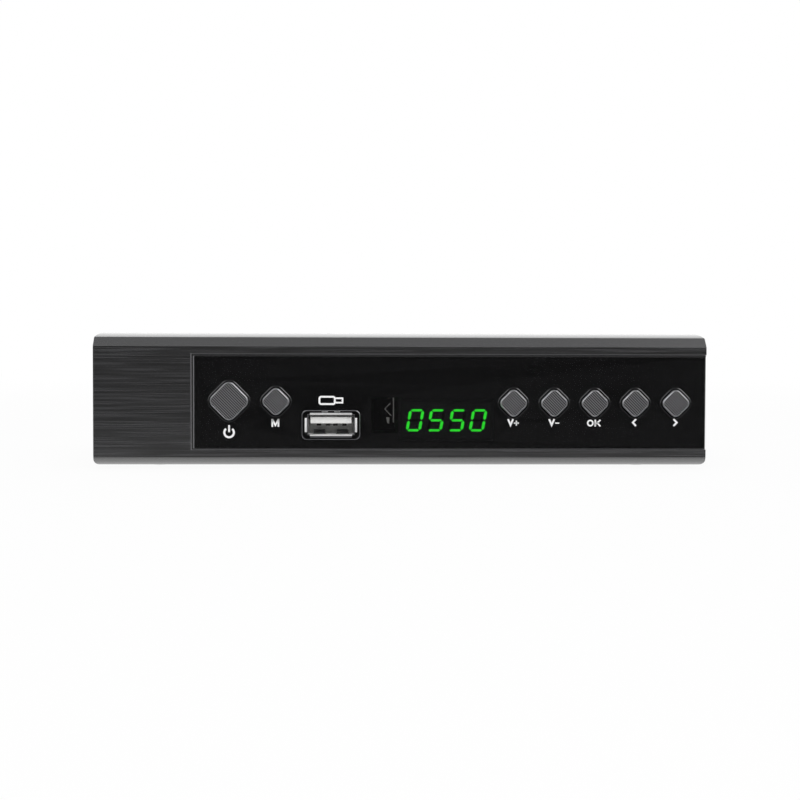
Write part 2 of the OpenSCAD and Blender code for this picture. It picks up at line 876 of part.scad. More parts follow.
module aerial_in_socket() {
  color("silver")
    difference() {
      rod_y(aerial_x, coax_z, can_y1, aerial_tip_y, coax_collar_r);
      rod_y(aerial_x, coax_z, rear_y - 1, aerial_tip_y + 1, aerial_bore_r);
    }
}

module aerial_in_contact() {
  color("gold")
    difference() {
      rod_y(aerial_x, coax_z, rear_y - 1, aerial_tip_y - 1, aerial_contact_r);
      rod_y(aerial_x, coax_z, rear_y, aerial_tip_y, aerial_contact_bore_r);
    }
}

module loop_out_socket() {
  color("silver")
    difference() {
      union() {
        rod_y(loop_x, coax_z, can_y1, rear_y + 0.6, coax_collar_r);
        rod_y(loop_x, coax_z, rear_y, tip_y, loop_plug_r);
      }
      rod_y(loop_x, coax_z, rear_y + 0.8, tip_y + 1, loop_bore_r);
    }
}

module loop_out_pin() {
  color("gold") rod_y(loop_x, coax_z, rear_y + 0.8, tip_y - 0.5, loop_pin_r);
}

// The keyed outline of the audio and video socket, drawn in by a margin
module av_outline(inset) {
  w = av_pocket_w / 2 - inset;
  h = av_pocket_h / 2 - inset;
  cut = av_cut - inset * (2 - sqrt(2));
  polygon([[-w, -h], [w, -h], [w, h - cut], [w - cut, h], [-w, h]]);
}

// Runs its children at each of the twenty slots, in two rows set off by half a step
module at_av_slots() {
  for (row = [0, 1], i = [0 : 9])
    translate([
      (i - 4.5) * av_slot_pitch + (row == 0 ? 0.25 : -0.25) * av_slot_pitch, 0,
      (row == 0 ? -1 : 1) * av_row_z
    ])
      children();
}

module av_socket_housing() {
  z = board_z1 + av_h / 2;
  pocket_y0 = av_y1 - av_pocket_l;
  color("#1b1b1d")
    difference() {
      block([av_x - av_w / 2, av_y1 - av_l, board_z1], [av_x + av_w / 2, av_y1, board_z1 + av_h]);
      translate([av_x, 0, z])
        difference() {
          along_y(pocket_y0, av_y1 + 1) av_outline(0);
          along_y(pocket_y0 - 1, av_y1 + 2) av_outline(av_island_inset);
        }
      translate([av_x, 0, z])
        at_av_slots()
          block([-av_slot_w / 2, pocket_y0, -av_slot_h / 2], [av_slot_w / 2, av_y1 + 1, av_slot_h / 2]);
    }
}

module av_socket_shell() {
  color("silver")
    translate([av_x, 0, board_z1 + av_h / 2])
      difference() {
        along_y(av_y1 - av_pocket_l, av_y1 + 0.8) av_outline(0.1);
        along_y(av_y1 - av_pocket_l - 1, av_y1 + 2) av_outline(0.1 + av_sheet);
      }
}

module av_socket_contacts() {
  y0 = av_y1 - av_pocket_l;
  color("gold")
    translate([av_x, 0, board_z1 + av_h / 2])
      at_av_slots() block([-0.25, y0, -1.7], [0.25, av_y1 - 1.2, 1.7]);
}

// Outline of the video socket, wide at the top with its lower corners cut
module video_outline(grow) {
  w = video_w / 2 + grow;
  h = video_h / 2 + grow;
  polygon([
    [-w, h], [w, h], [w, -h + video_cut], [w - video_cut, -h], [-w + video_cut, -h], [-w, -h + video_cut]
  ]);
}

module video_socket_shell() {
  leg_x = video_w / 2 + video_sheet;
  leg_t = 0.3;
  color("silver")
    translate([video_x, 0, video_z]) {
      difference() {
        along_y(video_y1 - video_l, video_y1) video_outline(video_sheet);
        along_y(video_y1 - video_l - 1, video_y1 + 1) video_outline(0);
      }
      for (sx = [-1, 1])
        block(
          [sx * leg_x - leg_t, video_y1 - 8, board_z1 - video_z],
          [sx * leg_x + leg_t, video_y1 - 6, 0.5]
        );
    }
}

module video_socket_tongue() {
  y0 = video_y1 - video_l;
  base_l = 3;
  color("#1b1b1d")
    translate([video_x, 0, video_z]) {
      along_y(y0, y0 + base_l) video_outline(-0.1);
      block([-5.9, y0, -0.15], [5.9, video_y1 - 1, 1.2]);
    }
}

module network_jack() {
  mouth_y0 = network_y1 - network_mouth_l;
  color("#8f9296")
    difference() {
      block(
        [network_x - network_w / 2, network_y1 - network_l, board_z1],
        [network_x + network_w / 2, network_y1, board_z1 + network_h]
      );
      block(
        [network_x - network_mouth_w / 2, mouth_y0, network_mouth_z],
        [network_x + network_mouth_w / 2, network_y1 + 1, network_mouth_z + network_mouth_h]
      );
      block(
        [network_x - network_latch_w / 2, mouth_y0, network_mouth_z - network_latch_h],
        [network_x + network_latch_w / 2, network_y1 + 1, network_mouth_z + 1]
      );
    }
}

module network_jack_contacts() {
  ceiling = network_mouth_z + network_mouth_h;
  wire_l = 9;
  wire_dip = 16;
  color("gold")
    for (i = [0 : network_wires - 1])
      translate([
        network_x + (i - (network_wires - 1) / 2) * network_wire_pitch,
        network_y1 - 2, ceiling - network_wire_r - 0.05
      ])
        rotate([90 + wire_dip, 0, 0]) cylinder(r = network_wire_r, h = wire_l, $fn = 16);
}

module audio_jack_body() {
  body_w = 10;
  body_l = 9.5;
  body_h = 12.6;
  body_y1 = wall_y0 - 0.4;
  color("#1b1b1d")
    difference() {
      union() {
        block(
          [audio_x - body_w / 2, body_y1 - body_l, board_z1],
          [audio_x + body_w / 2, body_y1, board_z1 + body_h]
        );
        rod_y(audio_x, audio_z, body_y1 - eps, audio_tip_y - 0.4, audio_sleeve_r - 0.6);
      }
      rod_y(audio_x, audio_z, body_y1 - 4, audio_tip_y + 1, 1.65);
    }
}

module audio_jack_sleeve() {
  color("silver")
    difference() {
      rod_y(audio_x, audio_z, wall_y0 - 0.4, audio_tip_y, audio_sleeve_r);
      rod_y(audio_x, audio_z, wall_y0 - 2, audio_tip_y + 1, audio_sleeve_r - 0.55);
    }
}

module power_inlet() {
  color("#1b1b1d")
    difference() {
      block(
        [inlet_x - inlet_w / 2, inlet_y1 - inlet_l, board_z1],
        [inlet_x + inlet_w / 2, inlet_y1, board_z1 + inlet_h]
      );
      rod_y(inlet_x, inlet_z, inlet_y1 - inlet_bore_l, inlet_y1 + 1, inlet_bore_r);
    }
}

module power_inlet_pin() {
  color("silver") rod_y(inlet_x, inlet_z, inlet_y1 - inlet_bore_l, inlet_y1 - 0.6, inlet_pin_r);
}

module chips() {
  half = processor_side / 2;
  color("#1d1d20") {
    translate([processor_pos[0] - half, processor_pos[1] - half, board_z1])
      cube([processor_side, processor_side, chip_t]);
    for (p = memory_pos)
      translate([p[0] - memory_size[0] / 2, p[1] - memory_size[1] / 2, board_z1])
        cube([memory_size[0], memory_size[1], chip_t]);
  }
}

module heat_sink() {
  half = sink_side / 2;
  fin_step = (sink_side - sink_fin_t) / (sink_fins - 1);
  color("#242426")
    translate([processor_pos[0] - half, processor_pos[1] - half, board_z1 + chip_t]) {
      cube([sink_side, sink_side, sink_base_t]);
      for (i = [0 : sink_fins - 1])
        translate([i * fin_step, 0, 0]) cube([sink_fin_t, sink_side, sink_h]);
    }
}

module capacitors() {
  color("#26324a")
    for (c = capacitor_list)
      translate([c[0], c[1], board_z1]) cylinder(r = c[2], h = c[3]);
}

front_panel();
front_window();
chassis();
top_cover();
cover_screws();
foot(-foot_x, foot_front_y);  // foot_front_left
foot(foot_x, foot_front_y);  // foot_front_right
foot(-foot_x, foot_rear_y);  // foot_rear_left
foot(foot_x, foot_rear_y);  // foot_rear_right
main_board();
board_screws();
key_board();
key_board_screws();
board_link();
button_cap(power_key);  // power_button
button_cap(menu_key);  // menu_button
button_cap(right_key(0));  // volume_up_button
button_cap(right_key(1));  // volume_down_button
button_cap(right_key(2));  // ok_button
button_cap(right_key(3));  // left_button
button_cap(right_key(4));  // right_button
switch_plunger(power_key);  // power_plunger
switch_plunger(menu_key);  // menu_plunger
switch_plunger(right_key(0));  // volume_up_plunger
switch_plunger(right_key(1));  // volume_down_plunger
switch_plunger(right_key(2));  // ok_plunger
switch_plunger(right_key(3));  // left_plunger
switch_plunger(right_key(4));  // right_plunger
switch_housing(power_key);  // power_switch
switch_housing(menu_key);  // menu_switch
switch_housing(right_key(0));  // volume_up_switch
switch_housing(right_key(1));  // volume_down_switch
switch_housing(right_key(2));  // ok_switch
switch_housing(right_key(3));  // left_switch
switch_housing(right_key(4));  // right_switch
display_module();
display_segments();
ir_receiver();
front_port_shell();
front_port_tongue();
front_port_contacts();
tuner_can();
aerial_in_socket();
aerial_in_contact();
loop_out_socket();
loop_out_pin();
av_socket_housing();
av_socket_shell();
av_socket_contacts();
video_socket_shell();
video_socket_tongue();
network_jack();
network_jack_contacts();
audio_jack_body();
audio_jack_sleeve();
power_inlet();
power_inlet_pin();
chips();
heat_sink();
capacitors();
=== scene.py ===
"""Looks of a set-top receiver for terrestrial television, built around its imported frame."""

import logging
import math
from dataclasses import dataclass, field, replace
from enum import Enum
from typing import Any, Sequence, Union

import bmesh
import bpy
from mathutils import Matrix, Vector


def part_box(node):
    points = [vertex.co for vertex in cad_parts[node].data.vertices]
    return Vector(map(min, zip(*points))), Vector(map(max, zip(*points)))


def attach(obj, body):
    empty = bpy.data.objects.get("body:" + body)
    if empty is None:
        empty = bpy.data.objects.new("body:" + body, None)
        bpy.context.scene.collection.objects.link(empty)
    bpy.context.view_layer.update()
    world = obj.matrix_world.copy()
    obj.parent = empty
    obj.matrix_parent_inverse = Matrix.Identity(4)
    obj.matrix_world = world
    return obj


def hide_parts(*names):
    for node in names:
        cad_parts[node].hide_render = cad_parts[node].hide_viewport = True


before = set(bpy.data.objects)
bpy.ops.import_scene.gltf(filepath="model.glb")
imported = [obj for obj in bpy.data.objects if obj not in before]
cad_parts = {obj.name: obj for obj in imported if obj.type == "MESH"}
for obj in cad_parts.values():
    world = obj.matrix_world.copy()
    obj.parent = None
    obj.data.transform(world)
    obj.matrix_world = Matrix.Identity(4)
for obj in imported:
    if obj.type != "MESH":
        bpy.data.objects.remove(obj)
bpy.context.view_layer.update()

MM = 0.001
PHOTO_SIDE = 800
PAST = 1.0
LOG = logging.getLogger("receiver")

Pair = tuple[float, float]
Point = tuple[float, float, float]
Spot = tuple[Point, Point]
Outline = list[Pair]
Colour = tuple[float, float, float, float]
Piece = bpy.types.Object
Fed = Union["Value", float, int, Sequence[float], bpy.types.NodeSocket, bpy.types.ID]


def srgb(code: str, shade: float = 1.0) -> Colour:
    """Turns a colour such as "#2bd72f" into linear light.

    Args:
        code: The colour as it looks on a screen, in hexadecimal.
        shade: How much of its light is kept.

    Returns:
        Red, green, blue and full opacity.
    """
    tones = [int(code[i:i + 2], 16) / 255 for i in (1, 3, 5)]
    light = [shade * (t / 12.92 if t <= 0.04045 else ((t + 0.055) / 1.055) ** 2.4) for t in tones]
    return (light[0], light[1], light[2], 1.0)


class Value:
    """An output socket of a node tree that takes part in arithmetic."""

    def __init__(self, graph: "Graph", socket: bpy.types.NodeSocket) -> None:
        """Keeps the tree and the socket."""
        self.graph = graph
        self.socket = socket

    def math(self, operation: str, other: Fed, swapped: bool = False) -> "Value":
        """Adds one Math node.

        Args:
            operation: The node's operation.
            other: What this value meets in it.
            swapped: True if the other one comes first.

        Returns:
            The node's result.
        """
        first, second = (other, self) if swapped else (self, other)
        return self.graph.output("ShaderNodeMath", {"operation": operation}, {0: first, 1: second})

    def __add__(self, other: Fed) -> "Value":
        """This plus another."""
        return self.math("ADD", other)

    __radd__ = __add__

    def __mul__(self, other: Fed) -> "Value":
        """This times another."""
        return self.math("MULTIPLY", other)

    __rmul__ = __mul__

    def __sub__(self, other: Fed) -> "Value":
        """This less another."""
        return self.math("SUBTRACT", other)

    def __rsub__(self, other: Fed) -> "Value":
        """Another less this."""
        return self.math("SUBTRACT", other, swapped=True)

    def __truediv__(self, other: Fed) -> "Value":
        """This divided by another."""
        return self.math("DIVIDE", other)

    def apart(self) -> "Value":
        """How far this is from 0."""
        return self.math("MAXIMUM", self * -1)


class Graph:
    """A node tree that is written as expressions."""

    TO_NUMBER = ("LENGTH", "DOT_PRODUCT")

    def __init__(self, tree: bpy.types.NodeTree) -> None:
        """Keeps the tree to which nodes are added."""
        self.tree = tree

    def node(self, kind: str, settings: dict[str, Any] | None = None,
             inputs: dict[str | int, Fed] | None = None) -> bpy.types.Node:
        """Adds a node.

        Args:
            kind: The node's type.
            settings: Its properties, such as a Math node's operation, which are set first.
            inputs: What its sockets get, by name or by number: a value, a link or a data block.

        Returns:
            The node.
        """
        made = self.tree.nodes.new(kind)
        for key, setting in (settings or {}).items():
            setattr(made, key, setting)
        for key, fed in (inputs or {}).items():
            self._feed(self._socket(made, key), fed)
        return made

    def output(self, kind: str, settings: dict[str, Any] | None = None,
               inputs: dict[str | int, Fed] | None = None, name: str = "") -> Value:
        """Adds a node and gives one of its outputs.

        Args:
            kind: The node's type.
            settings: Its properties.
            inputs: What its sockets get.
            name: The output's name, or nothing for the first one in use.

        Returns:
            The output.
        """
        made = self.node(kind, settings, inputs)
        usable = [s for s in made.outputs if not s.is_unavailable and name in ("", s.name)]
        return Value(self, usable[0])

    def vector(self, operation: str, first: Fed, second: Fed | None = None) -> Value:
        """Adds one Vector Math node.

        Args:
            operation: The node's operation.
            first: Its first vector.
            second: Its second vector, where the operation takes one.

        Returns:
            The node's result.
        """
        fed = {0: first} if second is None else {0: first, 1: second}
        name = "Value" if operation in self.TO_NUMBER else ""
        return self.output("ShaderNodeVectorMath", {"operation": operation}, fed, name)

    @staticmethod
    def _socket(node: bpy.types.Node, key: str | int) -> bpy.types.NodeSocket:
        """The input of that number, or the one in use of that name."""
        if isinstance(key, int):
            return node.inputs[key]
        return next(s for s in node.inputs if s.name == key and not s.is_unavailable)

    def _feed(self, socket: bpy.types.NodeSocket, fed: Fed) -> None:
        """Links a socket or sets its value."""
        source = fed.socket if isinstance(fed, Value) else fed
        if isinstance(source, bpy.types.NodeSocket):
            self.tree.links.new(source, socket)
        else:
            socket.default_value = source


class Paint(Graph):
    """The node tree of a material or of the world."""

    @classmethod
    def fresh(cls, owner: bpy.types.ID) -> "Paint":
        """The emptied tree of a new material or world."""
        owner.use_nodes = True
        owner.node_tree.nodes.clear()
        return cls(owner.node_tree)

    def place(self, cell: Point | float) -> Value:
        """Object coordinates, counted in cells.

        Args:
            cell: A cell's size in millimetres, along X, Y and Z or the same along all three.

        Returns:
            The coordinates.
        """
        here = self.output("ShaderNodeTexCoord", name="Object")
        sides = cell if isinstance(cell, tuple) else (cell,) * 3
        return self.vector("MULTIPLY", here, [1 / (side * MM) for side in sides])

    def along(self, axis: str) -> Value:
        """How far a point lies along "X", "Y" or "Z", in millimetres."""
        return self.output("ShaderNodeSeparateXYZ", inputs={0: self.place(1)}, name=axis)

    def noise(self, cell: Point | float, detail: float = 2.0) -> Value:
        """Noise with cells of one size, from 0 to 1 around 0.5."""
        fed = {"Vector": self.place(cell), "Scale": 1.0, "Detail": detail}
        return self.output("ShaderNodeTexNoise", inputs=fed)

    def crystals(self, cell: float) -> Value:
        """A random grey for each grain of a crystal pattern."""
        grains = {"Vector": self.place(cell), "Scale": 1.0}
        colours = self.output("ShaderNodeTexVoronoi", inputs=grains, name="Color")
        return self.output("ShaderNodeSeparateColor", inputs={0: colours})

    def spread(self, value: Fed, low: float, high: float) -> Value:
        """Stretches low to high over 0 to 1, with smooth ends."""
        settings = {"interpolation_type": "SMOOTHSTEP"}
        ends = {"Value": value, "From Min": low, "From Max": high}
        return self.output("ShaderNodeMapRange", settings, ends)

    def past(self, value: Fed, place: float, blur: float) -> Value:
        """0 up to a place and 1 beyond it, with a blur between."""
        return self.spread(value, place, place + blur)

    def between(self, share: Fed, first: Fed, second: Fed) -> Value:
        """A colour between two, at that share of the way."""
        mixed = {"Factor": share, "A": first, "B": second}
        return self.output("ShaderNodeMix", {"data_type": "RGBA"}, mixed)

    def relief(self, height: Fed, depth: float) -> Value:
        """A normal for bumps of that depth in millimetres."""
        return self.output("ShaderNodeBump", inputs={"Distance": depth * MM, "Height": height})

    def toward(self, way: Point) -> Value:
        """In the world's tree, the cosine between the looked-at way and another."""
        here = self.output("ShaderNodeTexCoord", name="Generated")
        return self.vector("DOT_PRODUCT", here, way)

    def ray(self, kind: str) -> Value:
        """1 for rays of that kind, such as "Is Camera Ray"."""
        return self.output("ShaderNodeLightPath", name=kind)


@dataclass(frozen=True)
class Finish:
    """A surface's colour and gloss. Each kind of finish adds its own pattern."""

    name: str
    colour: str
    roughness: float
    metallic: float = 0.0
    ior: float = 1.5

    def pattern(self, paint: Paint) -> dict[str, Fed]:
        """What varies over the surface.

        Args:
            paint: The material's node tree.

        Returns:
            The shader's sockets and what they get.
        """
        return {}

    def constants(self) -> dict[str, Fed]:
        """What is the same all over the surface, by socket."""
        return {
            "Base Color": srgb(self.colour), "Roughness": self.roughness,
            "Metallic": self.metallic, "IOR": self.ior,
        }

    def material(self) -> bpy.types.Material:
        """The finish as a material, which is made once and never shares a CAD material's name."""
        label = f"{self.name}_finish"
        made = bpy.data.materials.get(label)
        if made:
            return made
        made = bpy.data.materials.new(label)
        paint = Paint.fresh(made)
        sockets = {**self.constants(), **self.pattern(paint)}
        shader = paint.node("ShaderNodeBsdfPrincipled", inputs=sockets)
        paint.node("ShaderNodeOutputMaterial", inputs={"Surface": shader.outputs[0]})
        return made


@dataclass(frozen=True)
class BrushedFoil(Finish):
    """The front moulding: a brushed foil on its flat face, painted highlight lines along its recess, and
    a facet along its foot whose painted reflection grows paler downwards.
    """

    streak: str = "#3e3e40"
    rest: str = "#262628"
    # Painted highlight lines along the recess's edges and beside the window: this grey, and a paler one
    # on the left.
    painted_edge_line: str = "#4b4b4d"
    bright_painted_edge_line: str = "#77777a"
    # Painted reflection: the facet's colour runs from this pale grey at its foot to the next, dimmer grey
    # higher up.
    painted_highlight: str = "#b4b4b4"
    dim_painted_highlight: str = "#8c8c8c"
    fine_cell: Point = (23, 9, 0.22)
    fine_ends: Pair = (0.43, 0.66)
    fine_share: float = 0.8
    broad_cell: Point = (46, 9, 0.8)
    broad_ends: Pair = (0.44, 0.66)
    broad_share: float = 0.2
    face_y: float = -52.2
    facet_z: float = 3.3
    facet_depth: float = 3.4
    painted_reflection_ends: Pair = (0.7, 2.5)
    recess: Point = (-57.3, 5.6, 31.55)
    painted_line_width: float = 0.24
    frame_line: float = -56.62
    blur: float = 0.04

    def pattern(self, paint: Paint) -> dict[str, Fed]:
        """Streaks and painted highlight lines on the face, and a satin facet whose colour brightens
        downwards, as a painted reflection.
        """
        lines = self.streaks(paint)
        across, depth, height = (paint.along(axis) for axis in "XYZ")
        face = 1 - paint.spread(depth, self.face_y + 0.12, self.face_y + 0.2)
        near = 1 - paint.past(depth, self.face_y + self.facet_depth, 0.4)
        facet = near * (1 - paint.spread(height, self.facet_z - 0.1, self.facet_z + 0.1))
        # Painted reflection of the floor: the facet's colour grows paler towards its foot.
        painted_reflection = paint.between(paint.spread(height, *self.painted_reflection_ends), srgb(self.painted_highlight), srgb(self.dim_painted_highlight))
        wall, foil = self.wall(paint, across, height), self.foil(paint, lines, across, height)
        dark = paint.between(face, wall, foil)
        grain = paint.noise(0.3, detail=1)
        return {
            "Base Color": paint.between(facet, dark, painted_reflection),
            "Metallic": facet * 0.9,
            "Roughness": self.roughness + face * (0.08 - lines * 0.08) - facet * 0.05,
            "Normal": paint.relief(grain * 0.2 + lines * face, 0.0025),
        }

    def streaks(self, paint: Paint) -> Value:
        """Level streaks, fine ones with broad ones among them, from 0 to 1."""
        fine = paint.spread(paint.noise(self.fine_cell, detail=1), *self.fine_ends)
        broad = paint.spread(paint.noise(self.broad_cell, detail=1), *self.broad_ends)
        return fine * self.fine_share + broad * self.broad_share

    def foil(self, paint: Paint, lines: Value, across: Value, height: Value) -> Value:
        """The brushed foil, with a painted highlight line along three sides of the recess.

        Args:
            paint: The material's node tree.
            lines: The streaks.
            across: The place along X.
            height: The place along Z.

        Returns:
            The foil's colour.
        """
        left, foot, top = self.recess
        start = paint.past(across, left - self.painted_line_width, self.blur)
        level = paint.past(height, foot - self.painted_line_width, self.blur)
        level = level - paint.past(height, top + self.painted_line_width, self.blur)
        ends = 1 - paint.past(across, left, 0.05)
        # Painted highlight line, paler along the left side.
        painted_edge_line = paint.between(ends, srgb(self.painted_edge_line), srgb(self.bright_painted_edge_line))
        brushed = paint.between(lines, srgb(self.colour), srgb(self.streak))
        return paint.between(start * level, brushed, painted_edge_line)

    def wall(self, paint: Paint, across: Value, height: Value) -> Value:
        """The plastic behind the face, with a painted highlight line beside the window.

        Args:
            paint: The material's node tree.
            across: The place along X.
            height: The place along Z.

        Returns:
            The plastic's colour.
        """
        _, foot, top = self.recess
        # Painted highlight line beside the window.
        inner = paint.past(across, self.frame_line - self.painted_line_width, self.blur)
        inner = inner - paint.spread(across, self.frame_line + 0.1, self.frame_line + 0.2)
        within = paint.spread(height, foot + 0.2, foot + 0.3) - paint.spread(height, top - 0.5, top - 0.4)
        return paint.between(inner * within, srgb(self.rest), srgb(self.bright_painted_edge_line))


@dataclass(frozen=True)
class SmokedAcrylic(Finish):
    """Dark see-through plastic with a polished face."""

    opacity: float = 0.45
    mark_cell: Point = (22, 22, 6)
    mark_haze: float = 0.008

    def pattern(self, paint: Paint) -> dict[str, Fed]:
        """Faint wipe marks in the gloss."""
        marks = paint.spread(paint.noise(self.mark_cell, detail=3), 0.4, 0.75)
        return {"Alpha": self.opacity, "Roughness": self.roughness + marks * self.mark_haze}


@dataclass(frozen=True)
class Moulded(Finish):
    """Plastic from an eroded mould, with a fine grain."""

    grain: float = 0.16
    relief: float = 0.01
    shade: float = 0.82

    def pattern(self, paint: Paint) -> dict[str, Fed]:
        """Grain that mottles the colour and the gloss a little."""
        grain = paint.noise(self.grain, detail=3)
        cloud = paint.noise(9)
        mottle = paint.spread(grain * 0.6 + cloud * 0.4, 0.35, 0.65)
        return {
            "Base Color": paint.between(mottle, srgb(self.colour, self.shade), srgb(self.colour)),
            "Roughness": self.roughness - 0.06 + cloud * 0.12,
            "Normal": paint.relief(grain, self.relief),
        }


@dataclass(frozen=True)
class Knurled(Finish):
    """A key's plastic, with painted shade down in its knurl, painted light and shade in stripes along
    grooves that fall from left to right, and painted shade on its skirt.
    """

    top_y: float = -52.8
    depth: float = 0.14
    groove: float = 0.548
    ridge: float = 0.0
    # Painted light on the crests, and painted shade in the grooves and on the skirt, as shares of the
    # colour.
    crest_light: float = 2.3
    groove_shade: float = 0.02
    skirt_shade: float = 0.5

    def pattern(self, paint: Paint) -> dict[str, Fed]:
        """Painted shade that follows the depth and the grooves beside each ridge, painted light on the
        crests, and an even painted shade on the skirt.
        """
        depth = paint.along("Y")
        # Painted shade: darker down in the knurl.
        down = paint.spread(depth, self.top_y + 0.03, self.top_y + self.depth)
        # Painted shade on the skirt behind the window.
        behind = paint.spread(depth, self.top_y + self.depth + 0.05, self.top_y + self.depth + 0.3)
        across = (paint.along("X") + paint.along("Z")) * math.sqrt(0.5) - self.ridge
        wave = 0.5 - 0.5 * paint.output(
            "ShaderNodeMath", {"operation": "COSINE"}, {0: across * (2 * math.pi / self.groove)}
        )
        # Painted light and shade: pale crests and dark grooves in stripes.
        shade = down * 0.1 + paint.spread(wave, 0.25, 0.75) * 0.9
        tones = (self.crest_light, self.groove_shade, self.skirt_shade)
        crest, groove, skirt = (srgb(self.colour, tone) for tone in tones)
        return {
            "Base Color": paint.between(behind, paint.between(shade, crest, groove), skirt),
            "Roughness": self.roughness + down * 0.2,
            "Normal": paint.relief(paint.noise(0.12), 0.004),
        }


@dataclass(frozen=True)
class PowderCoat(Finish):
    """Paint that was baked on as powder and keeps a fine orange peel."""

    def pattern(self, paint: Paint) -> dict[str, Fed]:
        """Peel, a few coarse specks and a soft cloud."""
        peel = paint.noise(0.55, detail=4)
        specks = paint.spread(paint.noise(0.28, detail=0), 0.62, 0.7)
        cloud = paint.noise(24)
        tone = paint.spread(peel * 0.5 + cloud * 0.5, 0.35, 0.65)
        return {
            "Base Color": paint.between(tone, srgb(self.colour, 0.72), srgb(self.colour)),
            "Roughness": self.roughness - 0.05 + peel * 0.1 + specks * 0.12,
            "Normal": paint.relief(peel + specks * 0.3, 0.035),
        }


@dataclass(frozen=True)
class Galvanised(Finish):
    """Sheet steel with the crystals of a zinc bath and a rolled direction."""

    spangle: float = 2.3

    def pattern(self, paint: Paint) -> dict[str, Fed]:
        """Crystals that differ in tone and gloss, and fine rolling lines."""
        crystal = paint.crystals(self.spangle)
        lines = paint.noise((16, 0.18, 0.18), detail=1)
        tone = crystal * 0.7 + lines * 0.3
        return {
            "Base Color": paint.between(tone, srgb(self.colour, 0.8), srgb(self.colour)),
            "Roughness": self.roughness - 0.06 + crystal * 0.12,
            "Normal": paint.relief(lines, 0.003),
        }


@dataclass(frozen=True)
class Plated(Finish):
    """A plated or tinned metal with a light haze and fine scratches."""

    haze: float = 4.0

    def pattern(self, paint: Paint) -> dict[str, Fed]:
        """Haze in the gloss and the tone."""
        cloud = paint.spread(paint.noise(self.haze, detail=3), 0.35, 0.7)
        scratch = paint.noise((0.16, 2.6, 0.16), detail=2)
        return {
            "Base Color": paint.between(cloud, srgb(self.colour), srgb(self.colour, 0.8)),
            "Roughness": self.roughness + cloud * 0.1 + scratch * 0.05,
            "Normal": paint.relief(scratch, 0.002),
        }


@dataclass(frozen=True)
class RolledLips(Plated):
    """The port shell's plating, with a painted highlight along the lips round the mouth and painted shade
    beside and behind them.
    """

    # Painted shade on the shell's front, beside the lips.
    dark: str = "#4c4c4f"
    mid: Pair = (-19.3, 12.23)
    side_lip: Pair = (6.52, 2.3)
    top_lip: Pair = (2.72, 3.26)
    foot_lip: Pair = (-3.02, -2.64)
    lip_reach: float = 5.8
    lip_y: float = -51.0
    foot_highlight_share: float = 0.8
    blur: float = 0.08

    def pattern(self, paint: Paint) -> dict[str, Fed]:
        """The plating's haze over painted highlight and painted shade that follow the place."""
        across = (paint.along("X") - self.mid[0]).apart()
        height = paint.along("Z") - self.mid[1]
        reach, half = self.side_lip
        sides = paint.past(across, reach, self.blur) * (1 - paint.past(height.apart(), half, self.blur))
        top, foot = (
            paint.past(height, low, self.blur) - paint.past(height, high, self.blur)
            for low, high in (self.top_lip, self.foot_lip)
        )
        # Painted highlight along the top and lower lips; the lower lip's is weaker.
        level = (top + foot * self.foot_highlight_share) * (1 - paint.past(across, self.lip_reach, self.blur))
        inside = paint.past(paint.along("Y"), self.lip_y, 0.3)
        # Painted highlight on the lips, plain colour inside, painted shade elsewhere on the front.
        painted_highlight = sides.math("MAXIMUM", level).math("MAXIMUM", inside)
        plain = super().pattern(paint)
        return {**plain, "Base Color": paint.between(painted_highlight, srgb(self.dark), plain["Base Color"])}


@dataclass(frozen=True)
class SolderMask(Finish):
    """Lacquer on a circuit board, lighter where copper lies under it."""

    copper: str = "#24522e"
    pad: str = "#a89d78"
    upright: bool = False
    middle: float = 8.0
    half: float = 0.8
    track_l: float = 5.2
    track_w: float = 1.1
    via_pitch: float = 2.6

    def pattern(self, paint: Paint) -> dict[str, Fed]:
        """Tracks that run in steps and small tinned vias, on the board's two faces only."""
        away = (paint.along("Y" if self.upright else "Z") - self.middle).apart()
        outside = paint.spread(away, self.half - 0.03, self.half - 0.01)
        long, wide = self.track_l, self.track_w
        level = (long, long, wide) if self.upright else (long, wide, long)
        tracks = self.bands(paint, level) + self.bands(paint, (wide, long, long))
        dots = {"Vector": paint.place(self.via_pitch), "Scale": 1.0}
        gap = paint.output("ShaderNodeTexVoronoi", inputs=dots, name="Distance")
        vias = (1 - paint.spread(gap, 0.09, 0.13)) * outside
        copper = tracks.math("MINIMUM", 1.0) * outside
        lacquer = paint.between(copper, srgb(self.colour), srgb(self.copper))
        return {
            "Base Color": paint.between(vias, lacquer, srgb(self.pad)),
            "Roughness": self.roughness + vias * 0.1,
            "Metallic": vias * 0.7,
            "Normal": paint.relief(copper, 0.03),
        }

    @staticmethod
    def bands(paint: Paint, cell: Point) -> Value:
        """Bands along one level of a noise."""
        level = paint.noise(cell, detail=0)
        return paint.spread(level, 0.5, 0.53) - paint.spread(level, 0.6, 0.63)


@dataclass(frozen=True)
class Rubber(Finish):
    """Soft black rubber with a bloom of dust."""

    bloom: str = "#2c2c2d"

    def pattern(self, paint: Paint) -> dict[str, Fed]:
        """Bloom in patches and a fine pitted skin."""
        patches = paint.spread(paint.noise(3, detail=4), 0.4, 0.75)
        pits = paint.noise(0.2, detail=2)
        return {
            "Base Color": paint.between(patches, srgb(self.colour), srgb(self.bloom)),
            "Roughness": self.roughness + patches * 0.08,
            "Normal": paint.relief(pits, 0.02),
        }


@dataclass(frozen=True)
class Glowing(Finish):
    """A lit bar of a digit, a little uneven in its light."""

    light: str = "#2bd72f"
    strength: float = 3.3

    def constants(self) -> dict[str, Fed]:
        """The body's own colour with the light's strength."""
        return {**super().constants(), "Emission Strength": self.strength}

    def pattern(self, paint: Paint) -> dict[str, Fed]:
        """Light that is a little uneven."""
        cloud = paint.spread(paint.noise(1.1, detail=1), 0.3, 0.7)
        return {"Emission Color": paint.between(cloud, srgb(self.light, 0.85), srgb(self.light))}


